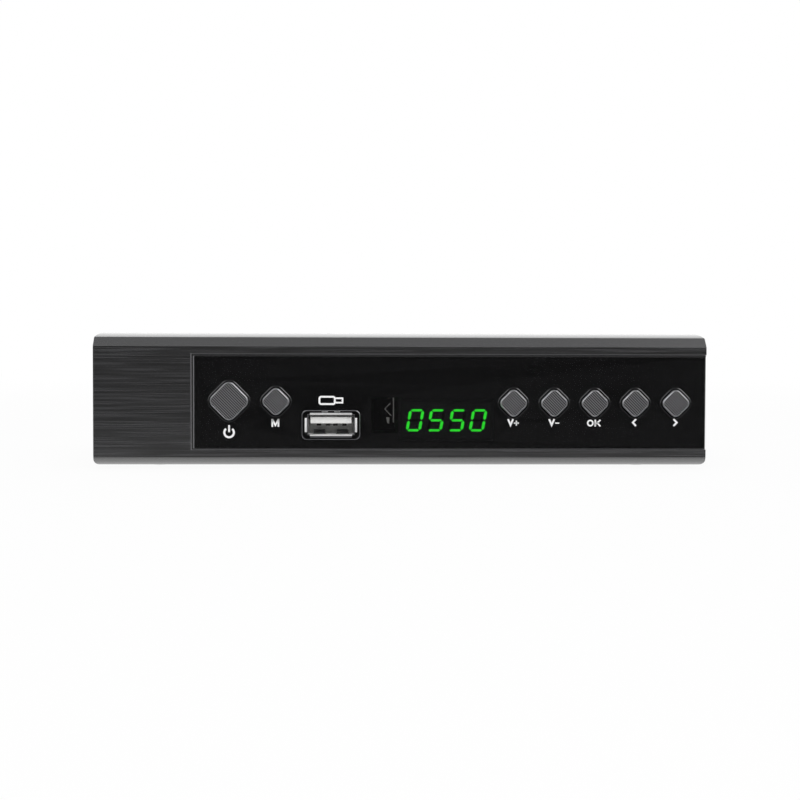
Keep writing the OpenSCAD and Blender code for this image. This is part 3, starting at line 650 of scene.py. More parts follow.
class Kit:
    """The finishes that the receiver's pieces share."""

    moulding = BrushedFoil("front_foil", "#121213", 0.26, ior=2.3)
    window = SmokedAcrylic("smoked_acrylic", "#080809", 0.02, ior=1.6)
    lip = Moulded("window_lip_plastic", "#0c0c0e", 0.14, ior=1.6, grain=0.3, relief=0.001)
    # Painted highlight: the lip round the port's hole is much paler than the smoked window, as a line of
    # light round the hole.
    port_lip = Moulded("port_lip_painted_highlight", "#6c6c70", 0.14, ior=1.9, grain=0.3, relief=0.001)
    cap = Knurled("key_plastic", "#4d4d4f", 0.42)
    rim = Plated("key_rim", "#c4c4c8", 0.3, metallic=0.9, haze=1.5)
    ink = Moulded("printing_ink", "#ffffff", 0.5, grain=0.2, relief=0.002, shade=0.96)
    black = Moulded("black_plastic", "#1a1a1c", 0.45)
    body_black = Moulded("display_plastic", "#3e3e41", 0.5)
    white = Moulded("white_plastic", "#fefefc", 0.45, grain=0.3, shade=0.95)
    ivory = Moulded("socket_insulator", "#d8d3c2", 0.5, grain=0.3)
    orange = Moulded("digital_audio_insert", "#c25a1e", 0.45)
    plunger = Moulded("plunger_plastic", "#202022", 0.4)
    epoxy = Moulded("chip_epoxy", "#1d1d20", 0.55, grain=0.1)
    eye = Moulded("eye_epoxy", "#0c0c0e", 0.12, grain=0.6, relief=0.001)
    unlit = Moulded("unlit_segment", "#161b16", 0.35, grain=0.3)
    anodised = Moulded("black_anodising", "#242427", 0.38, metallic=0.6, grain=0.1)
    sleeve = Moulded("capacitor_sleeve", "#1d2540", 0.3, grain=0.5, relief=0.002)
    stripe = Moulded("capacitor_stripe", "#b9bcc4", 0.35, grain=0.5, relief=0.002)
    paint = PowderCoat("casing_paint", "#1f1f21", 0.5)
    zinc = Galvanised("galvanised_sheet", "#c3c6c9", 0.36, metallic=1.0)
    tinned = Plated("tinned_sheet", "#cfd0cd", 0.28, metallic=1.0)
    screen = Plated("eye_screen_tin", "#fcfcf8", 0.45)
    nickel = Plated("nickel_plating", "#d8d5cd", 0.16, metallic=1.0)
    shell = RolledLips("port_plating", "#fdfdfd", 0.3, metallic=0.15)
    tab = Plated("port_tab_steel", "#f0f0f1", 0.3, metallic=0.3)
    spring = Plated("port_spring_steel", "#6a6a6d", 0.3, metallic=0.9)
    # Painted shade: the contacts under the tongue are coloured dark, as they lie in its shadow.
    port_contact = Plated("port_contact_painted_shade", "#2b2a28", 0.4, metallic=0.6)
    gold = Plated("contact_gilding", "#d6ab52", 0.2, metallic=1.0, haze=1.5)
    can_top = Plated("capacitor_aluminium", "#cfd2d4", 0.25, metallic=1.0, haze=1.2)
    screw_zinc = Plated("zinc_screw", "#c8ccd0", 0.3, metallic=1.0, haze=1.0)
    screw_black = Plated("black_screw", "#2a2a2c", 0.35, metallic=0.8, haze=1.0)
    rubber = Rubber("foot_rubber", "#141414", 0.75)
    foam = Rubber("display_foam", "#343436", 0.8, bloom="#3c3c3e")
    board = SolderMask("main_board_mask", "#0e2a16", 0.3)
    key_board = SolderMask("key_board_mask", "#0e2a16", 0.3, upright=True, middle=-41.6)
    lit = Glowing("lit_segment", "#0c2a0e", 0.4)


class Axis(Enum):
    """The way along which an outline gets its depth."""

    X = "X"
    Y = "Y"
    Z = "Z"

    def place(self, u: float, v: float, depth: float) -> Vector:
        """The point (u, v) of an outline at a depth: u and v are the other two ways, in order."""
        if self is Axis.X:
            return Vector((depth, u, v))
        if self is Axis.Y:
            return Vector((u, depth, v))
        return Vector((u, v, depth))


def circle(radius: float, centre: Pair = (0, 0), sides: int = 32) -> Outline:
    """Points round a circle."""
    turns = [2 * math.pi * i / sides for i in range(sides)]
    return [(centre[0] + radius * math.cos(t), centre[1] + radius * math.sin(t)) for t in turns]


def arc(radius: float, start: float, end: float, centre: Pair = (0, 0),
        steps: int = 24) -> Outline:
    """Points along an arc, with its ends in degrees from +X."""
    turns = [math.radians(start + (end - start) * i / steps) for i in range(steps + 1)]
    return [(centre[0] + radius * math.cos(t), centre[1] + radius * math.sin(t)) for t in turns]


def rounded(width: float, height: float, radius: float, centre: Pair = (0, 0),
            turn: float = 0.0, steps: int = 8) -> Outline:
    """A rectangle with round corners.

    Args:
        width: Its width before it is turned.
        height: Its height before it is turned.
        radius: Its corners' radius.
        centre: Where its middle lies.
        turn: How far it is turned, in degrees.
        steps: How many steps each corner takes.

    Returns:
        Its points, against the clock.
    """
    points: Outline = []
    for start, sx, sy in ((0, 1, 1), (90, -1, 1), (180, -1, -1), (270, 1, -1)):
        middle = (sx * (width / 2 - radius), sy * (height / 2 - radius))
        points += arc(radius, start, start + 90, middle, steps)
    c, s = math.cos(math.radians(turn)), math.sin(math.radians(turn))
    return [(centre[0] + x * c - y * s, centre[1] + x * s + y * c) for x, y in points]


def shifted(outline: Outline, u: float, v: float) -> Outline:
    """An outline moved by (u, v)."""
    return [(x + u, y + v) for x, y in outline]


def lengthened(path: Outline, reach: float) -> Outline:
    """A path with both ends drawn out."""
    ends = []
    for end, inner in ((path[0], path[1]), (path[-1], path[-2])):
        way = (Vector(end) - Vector(inner)).normalized() * reach
        ends.append((end[0] + way.x, end[1] + way.y))
    return [ends[0], *path[1:-1], ends[1]]


class Form:
    """A mesh under construction, in millimetres."""

    def __init__(self) -> None:
        """Starts with an empty mesh."""
        self.mesh = bmesh.new()

    def loft(self, rings: Sequence[Sequence[Vector]], looped: bool = False) -> "Form":
        """Skins rings of equally many points.

        Args:
            rings: The rings, in order.
            looped: True if the last ring meets the first, and otherwise both ends are closed.

        Returns:
            The form itself.
        """
        rows = [[self.mesh.verts.new(p) for p in ring] for ring in rings]
        pairs = list(zip(rows, rows[1:]))
        if looped:
            pairs.append((rows[-1], rows[0]))
        else:
            self.mesh.faces.new(rows[0][::-1])
            self.mesh.faces.new(rows[-1])
        count = len(rows[0])
        for near, far in pairs:
            for i in range(count):
                j = (i + 1) % count
                self.mesh.faces.new((near[i], near[j], far[j], far[i]))
        return self

    def prism(self, outline: Outline, low: float, high: float, axis: Axis) -> "Form":
        """Gives an outline depth from low to high."""
        return self.loft([[axis.place(u, v, depth) for u, v in outline] for depth in (low, high)])

    def box(self, low: Point, high: Point) -> "Form":
        """A block between two corners."""
        outline = [(low[0], low[1]), (high[0], low[1]), (high[0], high[1]), (low[0], high[1])]
        return self.prism(outline, low[2], high[2], Axis.Z)

    def lathe(self, profile: Outline, centre: Pair = (0, 0), axis: Axis = Axis.Z,
              sides: int = 32, looped: bool = False) -> "Form":
        """Turns a profile of (radius, place along the axis) round an axis."""
        rings = [[axis.place(u, v, depth) for u, v in circle(r, centre, sides)] for r, depth in profile]
        return self.loft(rings, looped)

    def ribbon(self, path: Outline, width: float, low: float, high: float, axis: Axis,
               looped: bool = False) -> "Form":
        """A strip of one width along a path, with mitred corners.

        Args:
            path: The strip's middle line.
            width: Its width.
            low: Where its depth starts.
            high: Where its depth ends.
            axis: The way of its depth.
            looped: True if the path closes.

        Returns:
            The form itself.
        """
        last = len(path) - 1
        rings = []
        for i, here in enumerate(path):
            before = path[i - 1] if i or looped else None
            after = path[(i + 1) % (last + 1)] if i < last or looped else None
            legs = [Vector(b) - Vector(a) for a, b in ((before, here), (here, after)) if a and b]
            sides = [Vector((-leg.y, leg.x)).normalized() for leg in legs]
            mitre = sum(sides, Vector((0, 0))).normalized()
            reach = mitre * (width / 2 / max(0.4, mitre.dot(sides[0])))
            left, right = Vector(here) + reach, Vector(here) - reach
            corners = ((left, low), (right, low), (right, high), (left, high))
            rings.append([axis.place(*p, depth) for p, depth in corners])
        return self.loft(rings, looped)

    def border(self, outer: Pair, inner: Pair, spot: Pair, depths: Pair, radius: float,
               steps: int) -> "Form":
        """A rectangular frame that looks along Y.

        Args:
            outer: Its outer width and height.
            inner: Its inner width and height.
            spot: Where its middle lies along X and Z.
            depths: Where it starts and ends along Y.
            radius: The radius of its corners.
            steps: How many steps each corner takes.

        Returns:
            The form itself.
        """
        low, high = depths
        rings = []
        for (width, height), y in ((outer, low), (outer, high), (inner, high), (inner, low)):
            corners = rounded(width, height, radius, spot, steps=steps)
            rings.append([Axis.Y.place(u, v, y) for u, v in corners])
        return self.loft(rings, looped=True)

    def wire(self, path: Sequence[Point], radius: float, sides: int = 10) -> "Form":
        """A round wire along points."""
        points = [Vector(p) for p in path]
        last = len(points) - 1
        side = (points[1] - points[0]).orthogonal()
        rings = []
        for i, here in enumerate(points):
            way = (points[min(i + 1, last)] - points[max(i - 1, 0)]).normalized()
            side = (side - way * side.dot(way)).normalized()
            up = way.cross(side)
            rings.append([here + side * u + up * v for u, v in circle(radius, sides=sides)])
        return self.loft(rings)

    def turned(self, degrees: float, axis: Axis = Axis.Z) -> "Form":
        """Turns all that is there so far round an axis."""
        self.mesh.transform(Matrix.Rotation(math.radians(degrees), 4, axis.value))
        return self

    def piece(self, name: str) -> Piece:
        """Turns the form into an object at the origin, in metres."""
        bmesh.ops.recalc_face_normals(self.mesh, faces=self.mesh.faces)
        self.mesh.transform(Matrix.Scale(MM, 4))
        data = bpy.data.meshes.new(name)
        self.mesh.to_mesh(data)
        self.mesh.free()
        return linked(name, data)


def linked(name: str, data: bpy.types.Mesh) -> Piece:
    """An object of the scene for a mesh."""
    made = bpy.data.objects.new(name, data)
    bpy.context.scene.collection.objects.link(made)
    return made


def discarded(spent: Piece) -> None:
    """Removes an object and its mesh."""
    data = spent.data
    bpy.data.objects.remove(spent)
    bpy.data.meshes.remove(data)


def settle(piece: Piece) -> Piece:
    """Turns an object with modifiers into a plain mesh."""
    graph = bpy.context.evaluated_depsgraph_get()
    solid = piece.evaluated_get(graph)
    data = bpy.data.meshes.new_from_object(solid, preserve_all_data_layers=True, depsgraph=graph)
    piece.modifiers.clear()
    spent = piece.data
    piece.data = data
    bpy.data.meshes.remove(spent)
    return piece


def modified(piece: Piece, kind: str, **settings: Any) -> Piece:
    """Runs one modifier of that kind on an object, with its settings, and keeps the result."""
    modifier = piece.modifiers.new(kind.lower(), kind)
    for key, setting in settings.items():
        setattr(modifier, key, setting)
    return settle(piece)


def shaded(piece: Piece, crease: float = 40.0) -> Piece:
    """Shades an object smooth up to an angle in degrees."""
    piece.data.shade_smooth()
    piece.data.set_sharp_from_angle(angle=math.radians(crease))
    return piece


def softened(piece: Piece, edge: float, segments: int = 2, crease: float = 40.0) -> Piece:
    """Rounds an object's sharp edges.

    Args:
        piece: The object.
        edge: The width of the rounding, in millimetres.
        segments: How many steps the rounding takes.
        crease: The angle above which an edge is sharp, in degrees.

    Returns:
        The object.
    """
    return modified(
        shaded(piece, crease), "BEVEL", width=edge * MM, segments=segments, limit_method="ANGLE",
        angle_limit=math.radians(crease), harden_normals=True, miter_outer="MITER_ARC",
    )


def evened(piece: Piece) -> Piece:
    """Makes each normal follow the largest face beside it, so that flat faces look flat."""
    return modified(piece, "WEIGHTED_NORMAL", keep_sharp=True, weight=100)


def carved(piece: Piece, cutter: Form) -> Piece:
    """Cuts a form out of an object."""
    tool = cutter.piece("cutter")
    modified(piece, "BOOLEAN", operation="DIFFERENCE", solver="EXACT", object=tool)
    discarded(tool)
    return piece


def merged_cad(node: str) -> bmesh.types.BMesh:
    """A CAD node's triangles, joined where they meet."""
    mesh = bmesh.new()
    mesh.from_mesh(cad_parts[node].data)
    bmesh.ops.remove_doubles(mesh, verts=mesh.verts, dist=0.002 * MM)
    return mesh


def cad_copy(node: str) -> Piece:
    """A copy of a CAD node with its flat faces whole again."""
    mesh = merged_cad(node)
    bmesh.ops.dissolve_limit(mesh, angle_limit=math.radians(0.6), verts=mesh.verts, edges=mesh.edges)
    data = bpy.data.meshes.new(f"{node}_skin")
    mesh.to_mesh(data)
    mesh.free()
    return linked(f"{node}_skin", data)


@dataclass(frozen=True)
class Block:
    """The box round a shape, in millimetres."""

    low: Vector
    high: Vector

    @property
    def mid(self) -> Vector:
        """The box's middle."""
        return (self.low + self.high) / 2

    @property
    def size(self) -> Vector:
        """The box's sides."""
        return self.high - self.low


def block(node: str) -> Block:
    """The box round a CAD node."""
    low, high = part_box(node)
    return Block(low / MM, high / MM)


def islands(node: str) -> list[Block]:
    """The boxes round the separate solids of a CAD node, from left to right and from front to back."""
    mesh = merged_cad(node)
    waiting = set(mesh.verts)
    found = []
    while waiting:
        border = {waiting.pop()}
        solid = list(border)
        while border:
            near = {edge.other_vert(vert) for vert in border for edge in vert.link_edges}
            border = near & waiting
            waiting -= border
            solid += border
        places = [vert.co / MM for vert in solid]
        low = Vector([min(p[i] for p in places) for i in range(3)])
        high = Vector([max(p[i] for p in places) for i in range(3)])
        found.append(Block(low, high))
    mesh.free()
    return sorted(found, key=lambda b: (round(b.mid.x, 1), round(b.mid.y, 1), round(b.mid.z, 1)))


class Recipe(Graph):
    """A Geometry Nodes tree with named inputs, which is run on an object and then removed."""

    def __init__(self, name: str, inputs: dict[str, str]) -> None:
        """Starts the tree.

        Args:
            name: The tree's name.
            inputs: Its inputs and their socket types, besides the geometry and the material.
        """
        tree = bpy.data.node_groups.new(name, "GeometryNodeTree")
        super().__init__(tree)
        tree.interface.new_socket(name="Geometry", in_out="OUTPUT", socket_type="NodeSocketGeometry")
        self.identifiers: dict[str, str] = {}
        wanted = {"Geometry": "NodeSocketGeometry", **inputs, "Material": "NodeSocketMaterial"}
        for label, kind in wanted.items():
            socket = tree.interface.new_socket(name=label, in_out="INPUT", socket_type=kind)
            self.identifiers[label] = socket.identifier
        self.source = tree.nodes.new("NodeGroupInput")

    def given(self, label: str) -> Value:
        """The tree's input of that name."""
        return Value(self, self.source.outputs[label])

    def model(self) -> Value:
        """The mesh of the object that is given as "Model"."""
        given = {"Object": self.given("Model")}
        return self.output("GeometryNodeObjectInfo", inputs=given, name="Geometry")

    def close(self, shape: Value) -> "Recipe":
        """Ends the tree in Realize Instances and Set Material."""
        solid = self.output("GeometryNodeRealizeInstances", inputs={"Geometry": shape})
        parts = {"Geometry": solid, "Material": self.given("Material")}
        dressed = self.output("GeometryNodeSetMaterial", inputs=parts)
        self.node("NodeGroupOutput", inputs={"Geometry": dressed})
        return self

    def grow(self, piece: Piece, **values: Any) -> Piece:
        """Runs the tree on an object and keeps the result as its plain mesh."""
        modifier = piece.modifiers.new(self.tree.name, "NODES")
        modifier.node_group = self.tree
        for label, value in values.items():
            modifier[self.identifiers[label]] = value
        return settle(piece)


def knurl_recipe() -> Recipe:
    """Small pyramids side by side on a rounded square that stands on one corner and looks along -Y."""
    inputs = {
        "Side": "NodeSocketFloat", "Corner": "NodeSocketFloat", "Pitch": "NodeSocketFloat",
        "Height": "NodeSocketFloat", "Middle": "NodeSocketVector",
    }
    tree = Recipe("knurl", inputs)
    side, corner, pitch = tree.given("Side"), tree.given("Corner"), tree.given("Pitch")
    count = tree.output("ShaderNodeMath", {"operation": "FLOOR"}, {0: side / pitch})
    reach = (count - 1) * pitch
    sheet = {"Size X": reach, "Size Y": reach, "Vertices X": count, "Vertices Y": count}
    grid = tree.output("GeometryNodeMeshGrid", inputs=sheet)
    place = tree.output("GeometryNodeInputPosition")
    size = tree.vector("ABSOLUTE", place)
    inner = side * 0.5 - corner
    bend = tree.output("ShaderNodeCombineXYZ", inputs={"X": inner, "Y": inner})
    beyond = tree.vector("MAXIMUM", tree.vector("SUBTRACT", size, bend), (0, 0, 0))
    far = tree.vector("LENGTH", beyond)
    outside = {"Geometry": grid, "Selection": far.math("GREATER_THAN", corner - pitch * 0.42)}
    kept = tree.output("GeometryNodeDeleteGeometry", {"domain": "POINT"}, outside)
    foot = pitch * (0.5 * math.sqrt(2) * 0.96)
    cone = {"Vertices": 4, "Radius Top": 0.0, "Radius Bottom": foot, "Depth": tree.given("Height")}
    pyramid = tree.output("GeometryNodeMeshCone", inputs=cone)
    eighth = {"Geometry": pyramid, "Rotation": (0, 0, math.radians(45))}
    squared = tree.output("GeometryNodeTransform", inputs=eighth)
    pyramids = tree.output("GeometryNodeInstanceOnPoints", inputs={"Points": kept, "Instance": squared})
    diamond = {"Geometry": pyramids, "Rotation": (0, 0, math.radians(45))}
    turned = tree.output("GeometryNodeTransform", inputs=diamond)
    middle = tree.given("Middle")
    facing = {"Geometry": turned, "Rotation": (math.radians(90), 0, 0), "Translation": middle}
    upright = tree.output("GeometryNodeTransform", inputs=facing)
    joined = tree.node("GeometryNodeJoinGeometry")
    for part in (tree.given("Geometry"), upright):
        tree.tree.links.new(part.socket, joined.inputs[0])
    return tree.close(Value(tree, joined.outputs[0]))


def copies_recipe(axis: Axis) -> Recipe:
    """Puts a model on each point, with one of its axes along the point's own "facing" vector."""
    tree = Recipe(f"copies_{axis.value}", {"Model": "NodeSocketObject"})
    settings = {"data_type": "FLOAT_VECTOR"}
    facing = tree.output("GeometryNodeInputNamedAttribute", settings, {"Name": "facing"})
    turn = tree.output("FunctionNodeAlignRotationToVector", {"axis": axis.value}, {"Vector": facing})
    model = tree.model()
    parts = {"Points": tree.given("Geometry"), "Instance": model, "Rotation": turn}
    return tree.close(tree.output("GeometryNodeInstanceOnPoints", inputs=parts))


def scatter_recipe() -> Recipe:
    """Strews a model over faces, each one turned by some quarter turns."""
    inputs = {
        "Model": "NodeSocketObject", "Spacing": "NodeSocketFloat", "Density": "NodeSocketFloat",
        "Seed": "NodeSocketInt",
    }
    tree = Recipe("scatter", inputs)
    seed = tree.given("Seed")
    spots = {
        "Mesh": tree.given("Geometry"), "Distance Min": tree.given("Spacing"),
        "Density Max": tree.given("Density"), "Seed": seed,
    }
    points = tree.output("GeometryNodeDistributePointsOnFaces", {"distribute_method": "POISSON"}, spots)
    ends = {"Min": 0, "Max": 3, "Seed": seed}
    quarters = tree.output("FunctionNodeRandomValue", {"data_type": "INT"}, ends)
    turn = tree.output("ShaderNodeCombineXYZ", inputs={"Z": quarters * math.radians(90)})
    rotation = tree.output("FunctionNodeEulerToRotation", inputs={0: turn})
    model = tree.model()
    parts = {"Points": points, "Instance": model, "Rotation": rotation}
    return tree.close(tree.output("GeometryNodeInstanceOnPoints", inputs=parts))


class Workshop:
    """Holds the recipes and hands each finished piece to its body."""

    def __init__(self) -> None:
        """Makes the recipes once."""
        self.knurl = knurl_recipe()
        self.upright = copies_recipe(Axis.Z)
        self.sideways = copies_recipe(Axis.X)
        self.scatter = scatter_recipe()
        self.count = 0

    def hand_over(self, piece: Piece, finish: Finish, slot: str, *stands_for: str,
                  body: str = "receiver") -> None:
        """Dresses a piece and lets it ride.

        Args:
            piece: The piece.
            finish: Its surface.
            slot: The record's material slot that it belongs to; it is not used.
            stands_for: The CAD nodes that it replaces.
            body: The body that it rides on.
        """
        piece.data.materials.clear()
        piece.data.materials.append(finish.material())
        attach(piece, body)
        if stands_for:
            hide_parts(*stands_for)
        self.count += 1
        LOG.info("%s: %d faces, %s", piece.name, len(piece.data.polygons), finish.name)

    def keep(self, node: str, finish: Finish) -> None:
        """Leaves a CAD node as it is and gives it a finish."""
        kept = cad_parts[node]
        kept.data.materials.clear()
        kept.data.materials.append(finish.material())
        self.count += 1
        LOG.info("%s: as modelled, %s", node, finish.name)

    def refine(self, node: str, finish: Finish, slot: str, edge: float) -> None:
        """Puts a copy with rounded edges in a CAD node's place.

        Args:
            node: The node.
            finish: The copy's surface.
            slot: The record's material slot.
            edge: The width of the rounding, in millimetres.
        """
        self.hand_over(softened(cad_copy(node), edge), finish, slot, node)

    def copies(self, name: str, model: Piece, spots: Sequence[Spot], recipe: Recipe,
               finish: Finish, slot: str, *stands_for: str) -> None:
        """Hands over one piece that has a model on each spot, and removes the model.

        Args:
            name: The new piece's name.
            model: What is copied.
            spots: Each copy's place in millimetres and the way that it faces.
            recipe: The tree that makes the copies.
            finish: Their surface.
            slot: The record's material slot.
            stands_for: The CAD nodes that they replace.
        """
        data = bpy.data.meshes.new(name)
        data.from_pydata([Vector(place) * MM for place, _ in spots], [], [])
        facing = data.attributes.new("facing", "FLOAT_VECTOR", "POINT")
        facing.data.foreach_set("vector", [part for _, way in spots for part in way])
        made = recipe.grow(linked(name, data), Model=model, Material=finish.material())
        discarded(model)
        self.hand_over(made, finish, slot, *stands_for)


@dataclass(frozen=True)
class Lamp:
    """A rectangular lamp: its place and sides in millimetres, and its brightness, where 1 is white."""

    name: str
    place: Point
    width: float
    height: float
    radiance: float

    def hang(self) -> None:
        """Adds the lamp, which looks at the object."""
        data = bpy.data.lights.new(self.name, "AREA")
        data.shape = "RECTANGLE"
        data.size = self.width * MM
        data.size_y = self.height * MM
        data.energy = self.radiance * math.pi * data.size * data.size_y
        made = bpy.data.objects.new(self.name, data)
        made.location = Vector(self.place) * MM
        made.rotation_euler = (-Vector(self.place)).to_track_quat("-Z", "Y").to_euler()
        made.visible_glossy = False
        bpy.context.scene.collection.objects.link(made)


@dataclass(frozen=True)
class SkyPatch:
    """A round part of the sky: its way, the cosines where it starts and is full, and what it adds."""

    way: Point
    edge: float
    core: float
    change: float

    def seen(self, paint: Paint) -> Value:
        """What the patch adds."""
        return paint.spread(paint.toward(self.way), self.edge, self.core) * self.change


@dataclass
class Studio:
    """The camera at the photograph's viewing angle, a pale floor and soft light."""

    distance: float = 450.0
    rise: float = 18.0
    sideways: float = -16.0
    aim: Pair = (-0.41, 19.14)
    pixels_per_mm: float = 3.652
    roll: float = 0.17
    sensor: float = 36.0
    clip: Pair = (10, 20000)
    floor_side: float = 6000.0
    floor_gap: float = 0.02
    floor_tone: float = 0.8
    floor_white: float = 0.94
    floor_fade: Pair = (60, 900)
    gloss_cut: float = 0.9
    apron: Pair = (-135, -95)
    apron_gain: float = 0.22
    under: Pair = (-58, -50)
    under_gain: float = 0.5
    ambient: float = 0.5

    LAMPS = (
        Lamp("overhead", (60, -60, 620), 700, 500, 1.5),
        Lamp("front_fill", (-60, -720, 380), 600, 350, 3.0),
        Lamp("back_fill", (0, 760, 420), 600, 350, 1.0),
    )
    SKY = (
        SkyPatch((0, 0, 1), 0.75, 0.92, -0.6),
        SkyPatch((0, 1, 0), 0.8, 0.97, 1.1),
        SkyPatch((0.7, 0, 0.714), 0.87, 0.97, 2.7),
        SkyPatch((-0.7, 0, 0.714), 0.87, 0.97, 1.0),
    )
    AHEAD = SkyPatch((0, -1, 0), 0.6, 0.88, -0.95)

    def build(self) -> None:
        """Makes everything that isn't part of the object."""
        self.camera()
        self.floor()
        self.world()
        for lamp in self.LAMPS:
            lamp.hang()

    def camera(self) -> None:
        """Places the camera so that the aimed point comes to the picture's middle."""
        face_y = block("front_panel").low.y
        target = Vector((self.aim[0], face_y, self.aim[1]))
        eye = Vector((self.sideways, face_y - self.distance, target.z + self.rise))
        data = bpy.data.cameras.new("camera")
        data.sensor_width = self.sensor
        data.lens = self.pixels_per_mm * (target - eye).length * self.sensor / PHOTO_SIDE
        data.clip_start, data.clip_end = (reach * MM for reach in self.clip)
        made = bpy.data.objects.new("camera", data)
        made.location = eye * MM
        turn = (target - eye).to_track_quat("-Z", "Y").to_matrix()
        made.rotation_euler = (turn @ Matrix.Rotation(math.radians(self.roll), 3, "Z")).to_euler()
        bpy.context.scene.collection.objects.link(made)
        bpy.context.scene.camera = made

    def floor(self) -> None:
        """A pale floor that keeps a soft shadow and shows white to the camera and in gloss."""
        half = self.floor_side / 2
        form = Form()
        corners = ((-half, -half), (half, -half), (half, half), (-half, half))
        form.mesh.faces.new([form.mesh.verts.new((x, y, -self.floor_gap)) for x, y in corners])
        made = form.piece("floor")
        finish = bpy.data.materials.new("pale_floor")
        paint = Paint.fresh(finish)
        glossy = paint.ray("Is Glossy Ray")
        depth = paint.along("Y")
        apron = paint.spread(depth, *self.apron) * self.apron_gain
        under = paint.spread(depth, *self.under) * self.under_gain
        white_share = paint.spread(depth, *self.floor_fade) * (1 - self.floor_white) + self.floor_white
        seen = (paint.ray("Is Camera Ray") + paint.ray("Is Transmission Ray")) * white_share + glossy
        matt = paint.node("ShaderNodeBsdfDiffuse", inputs={"Color": (*(self.floor_tone,) * 3, 1)})
        light = 1 - glossy * (self.gloss_cut - apron - under)
        white = paint.node("ShaderNodeEmission", inputs={"Color": (1, 1, 1, 1), "Strength": light})
        ends = {0: seen, 1: matt.outputs[0], 2: white.outputs[0]}
        mixed = paint.node("ShaderNodeMixShader", inputs=ends)
        paint.node("ShaderNodeOutputMaterial", inputs={"Surface": mixed.outputs[0]})
        made.data.materials.append(finish)

    def world(self) -> None:
        """White to the camera, plain grey to matt surfaces, and white with a dark front to gloss."""
        world = bpy.data.worlds.new("studio")
        bpy.context.scene.world = world
        paint = Paint.fresh(world)
        glossy = paint.ray("Is Glossy Ray")
        direct = paint.ray("Is Camera Ray") + paint.ray("Is Transmission Ray")
        sky: Fed = 1.0
        for patch in self.SKY:
            sky = patch.seen(paint) + sky
        sky = sky * (self.AHEAD.seen(paint) + 1)
        strength = direct + glossy * sky + (1 - glossy) * (1 - direct) * self.ambient
        shader = paint.node("ShaderNodeBackground", inputs={"Color": (1, 1, 1, 1), "Strength": strength})
        paint.node("ShaderNodeOutputWorld", inputs={"Surface": shader.outputs[0]})


@dataclass(frozen=True)
class Word:
    """A word under a key: its letters, its shift from the key, its foot, height, gaps and stroke."""

    text: str
    shift: float
    foot: float
    height: float = 2.05
    gap: float = 0.05
    stroke: float = 0.5


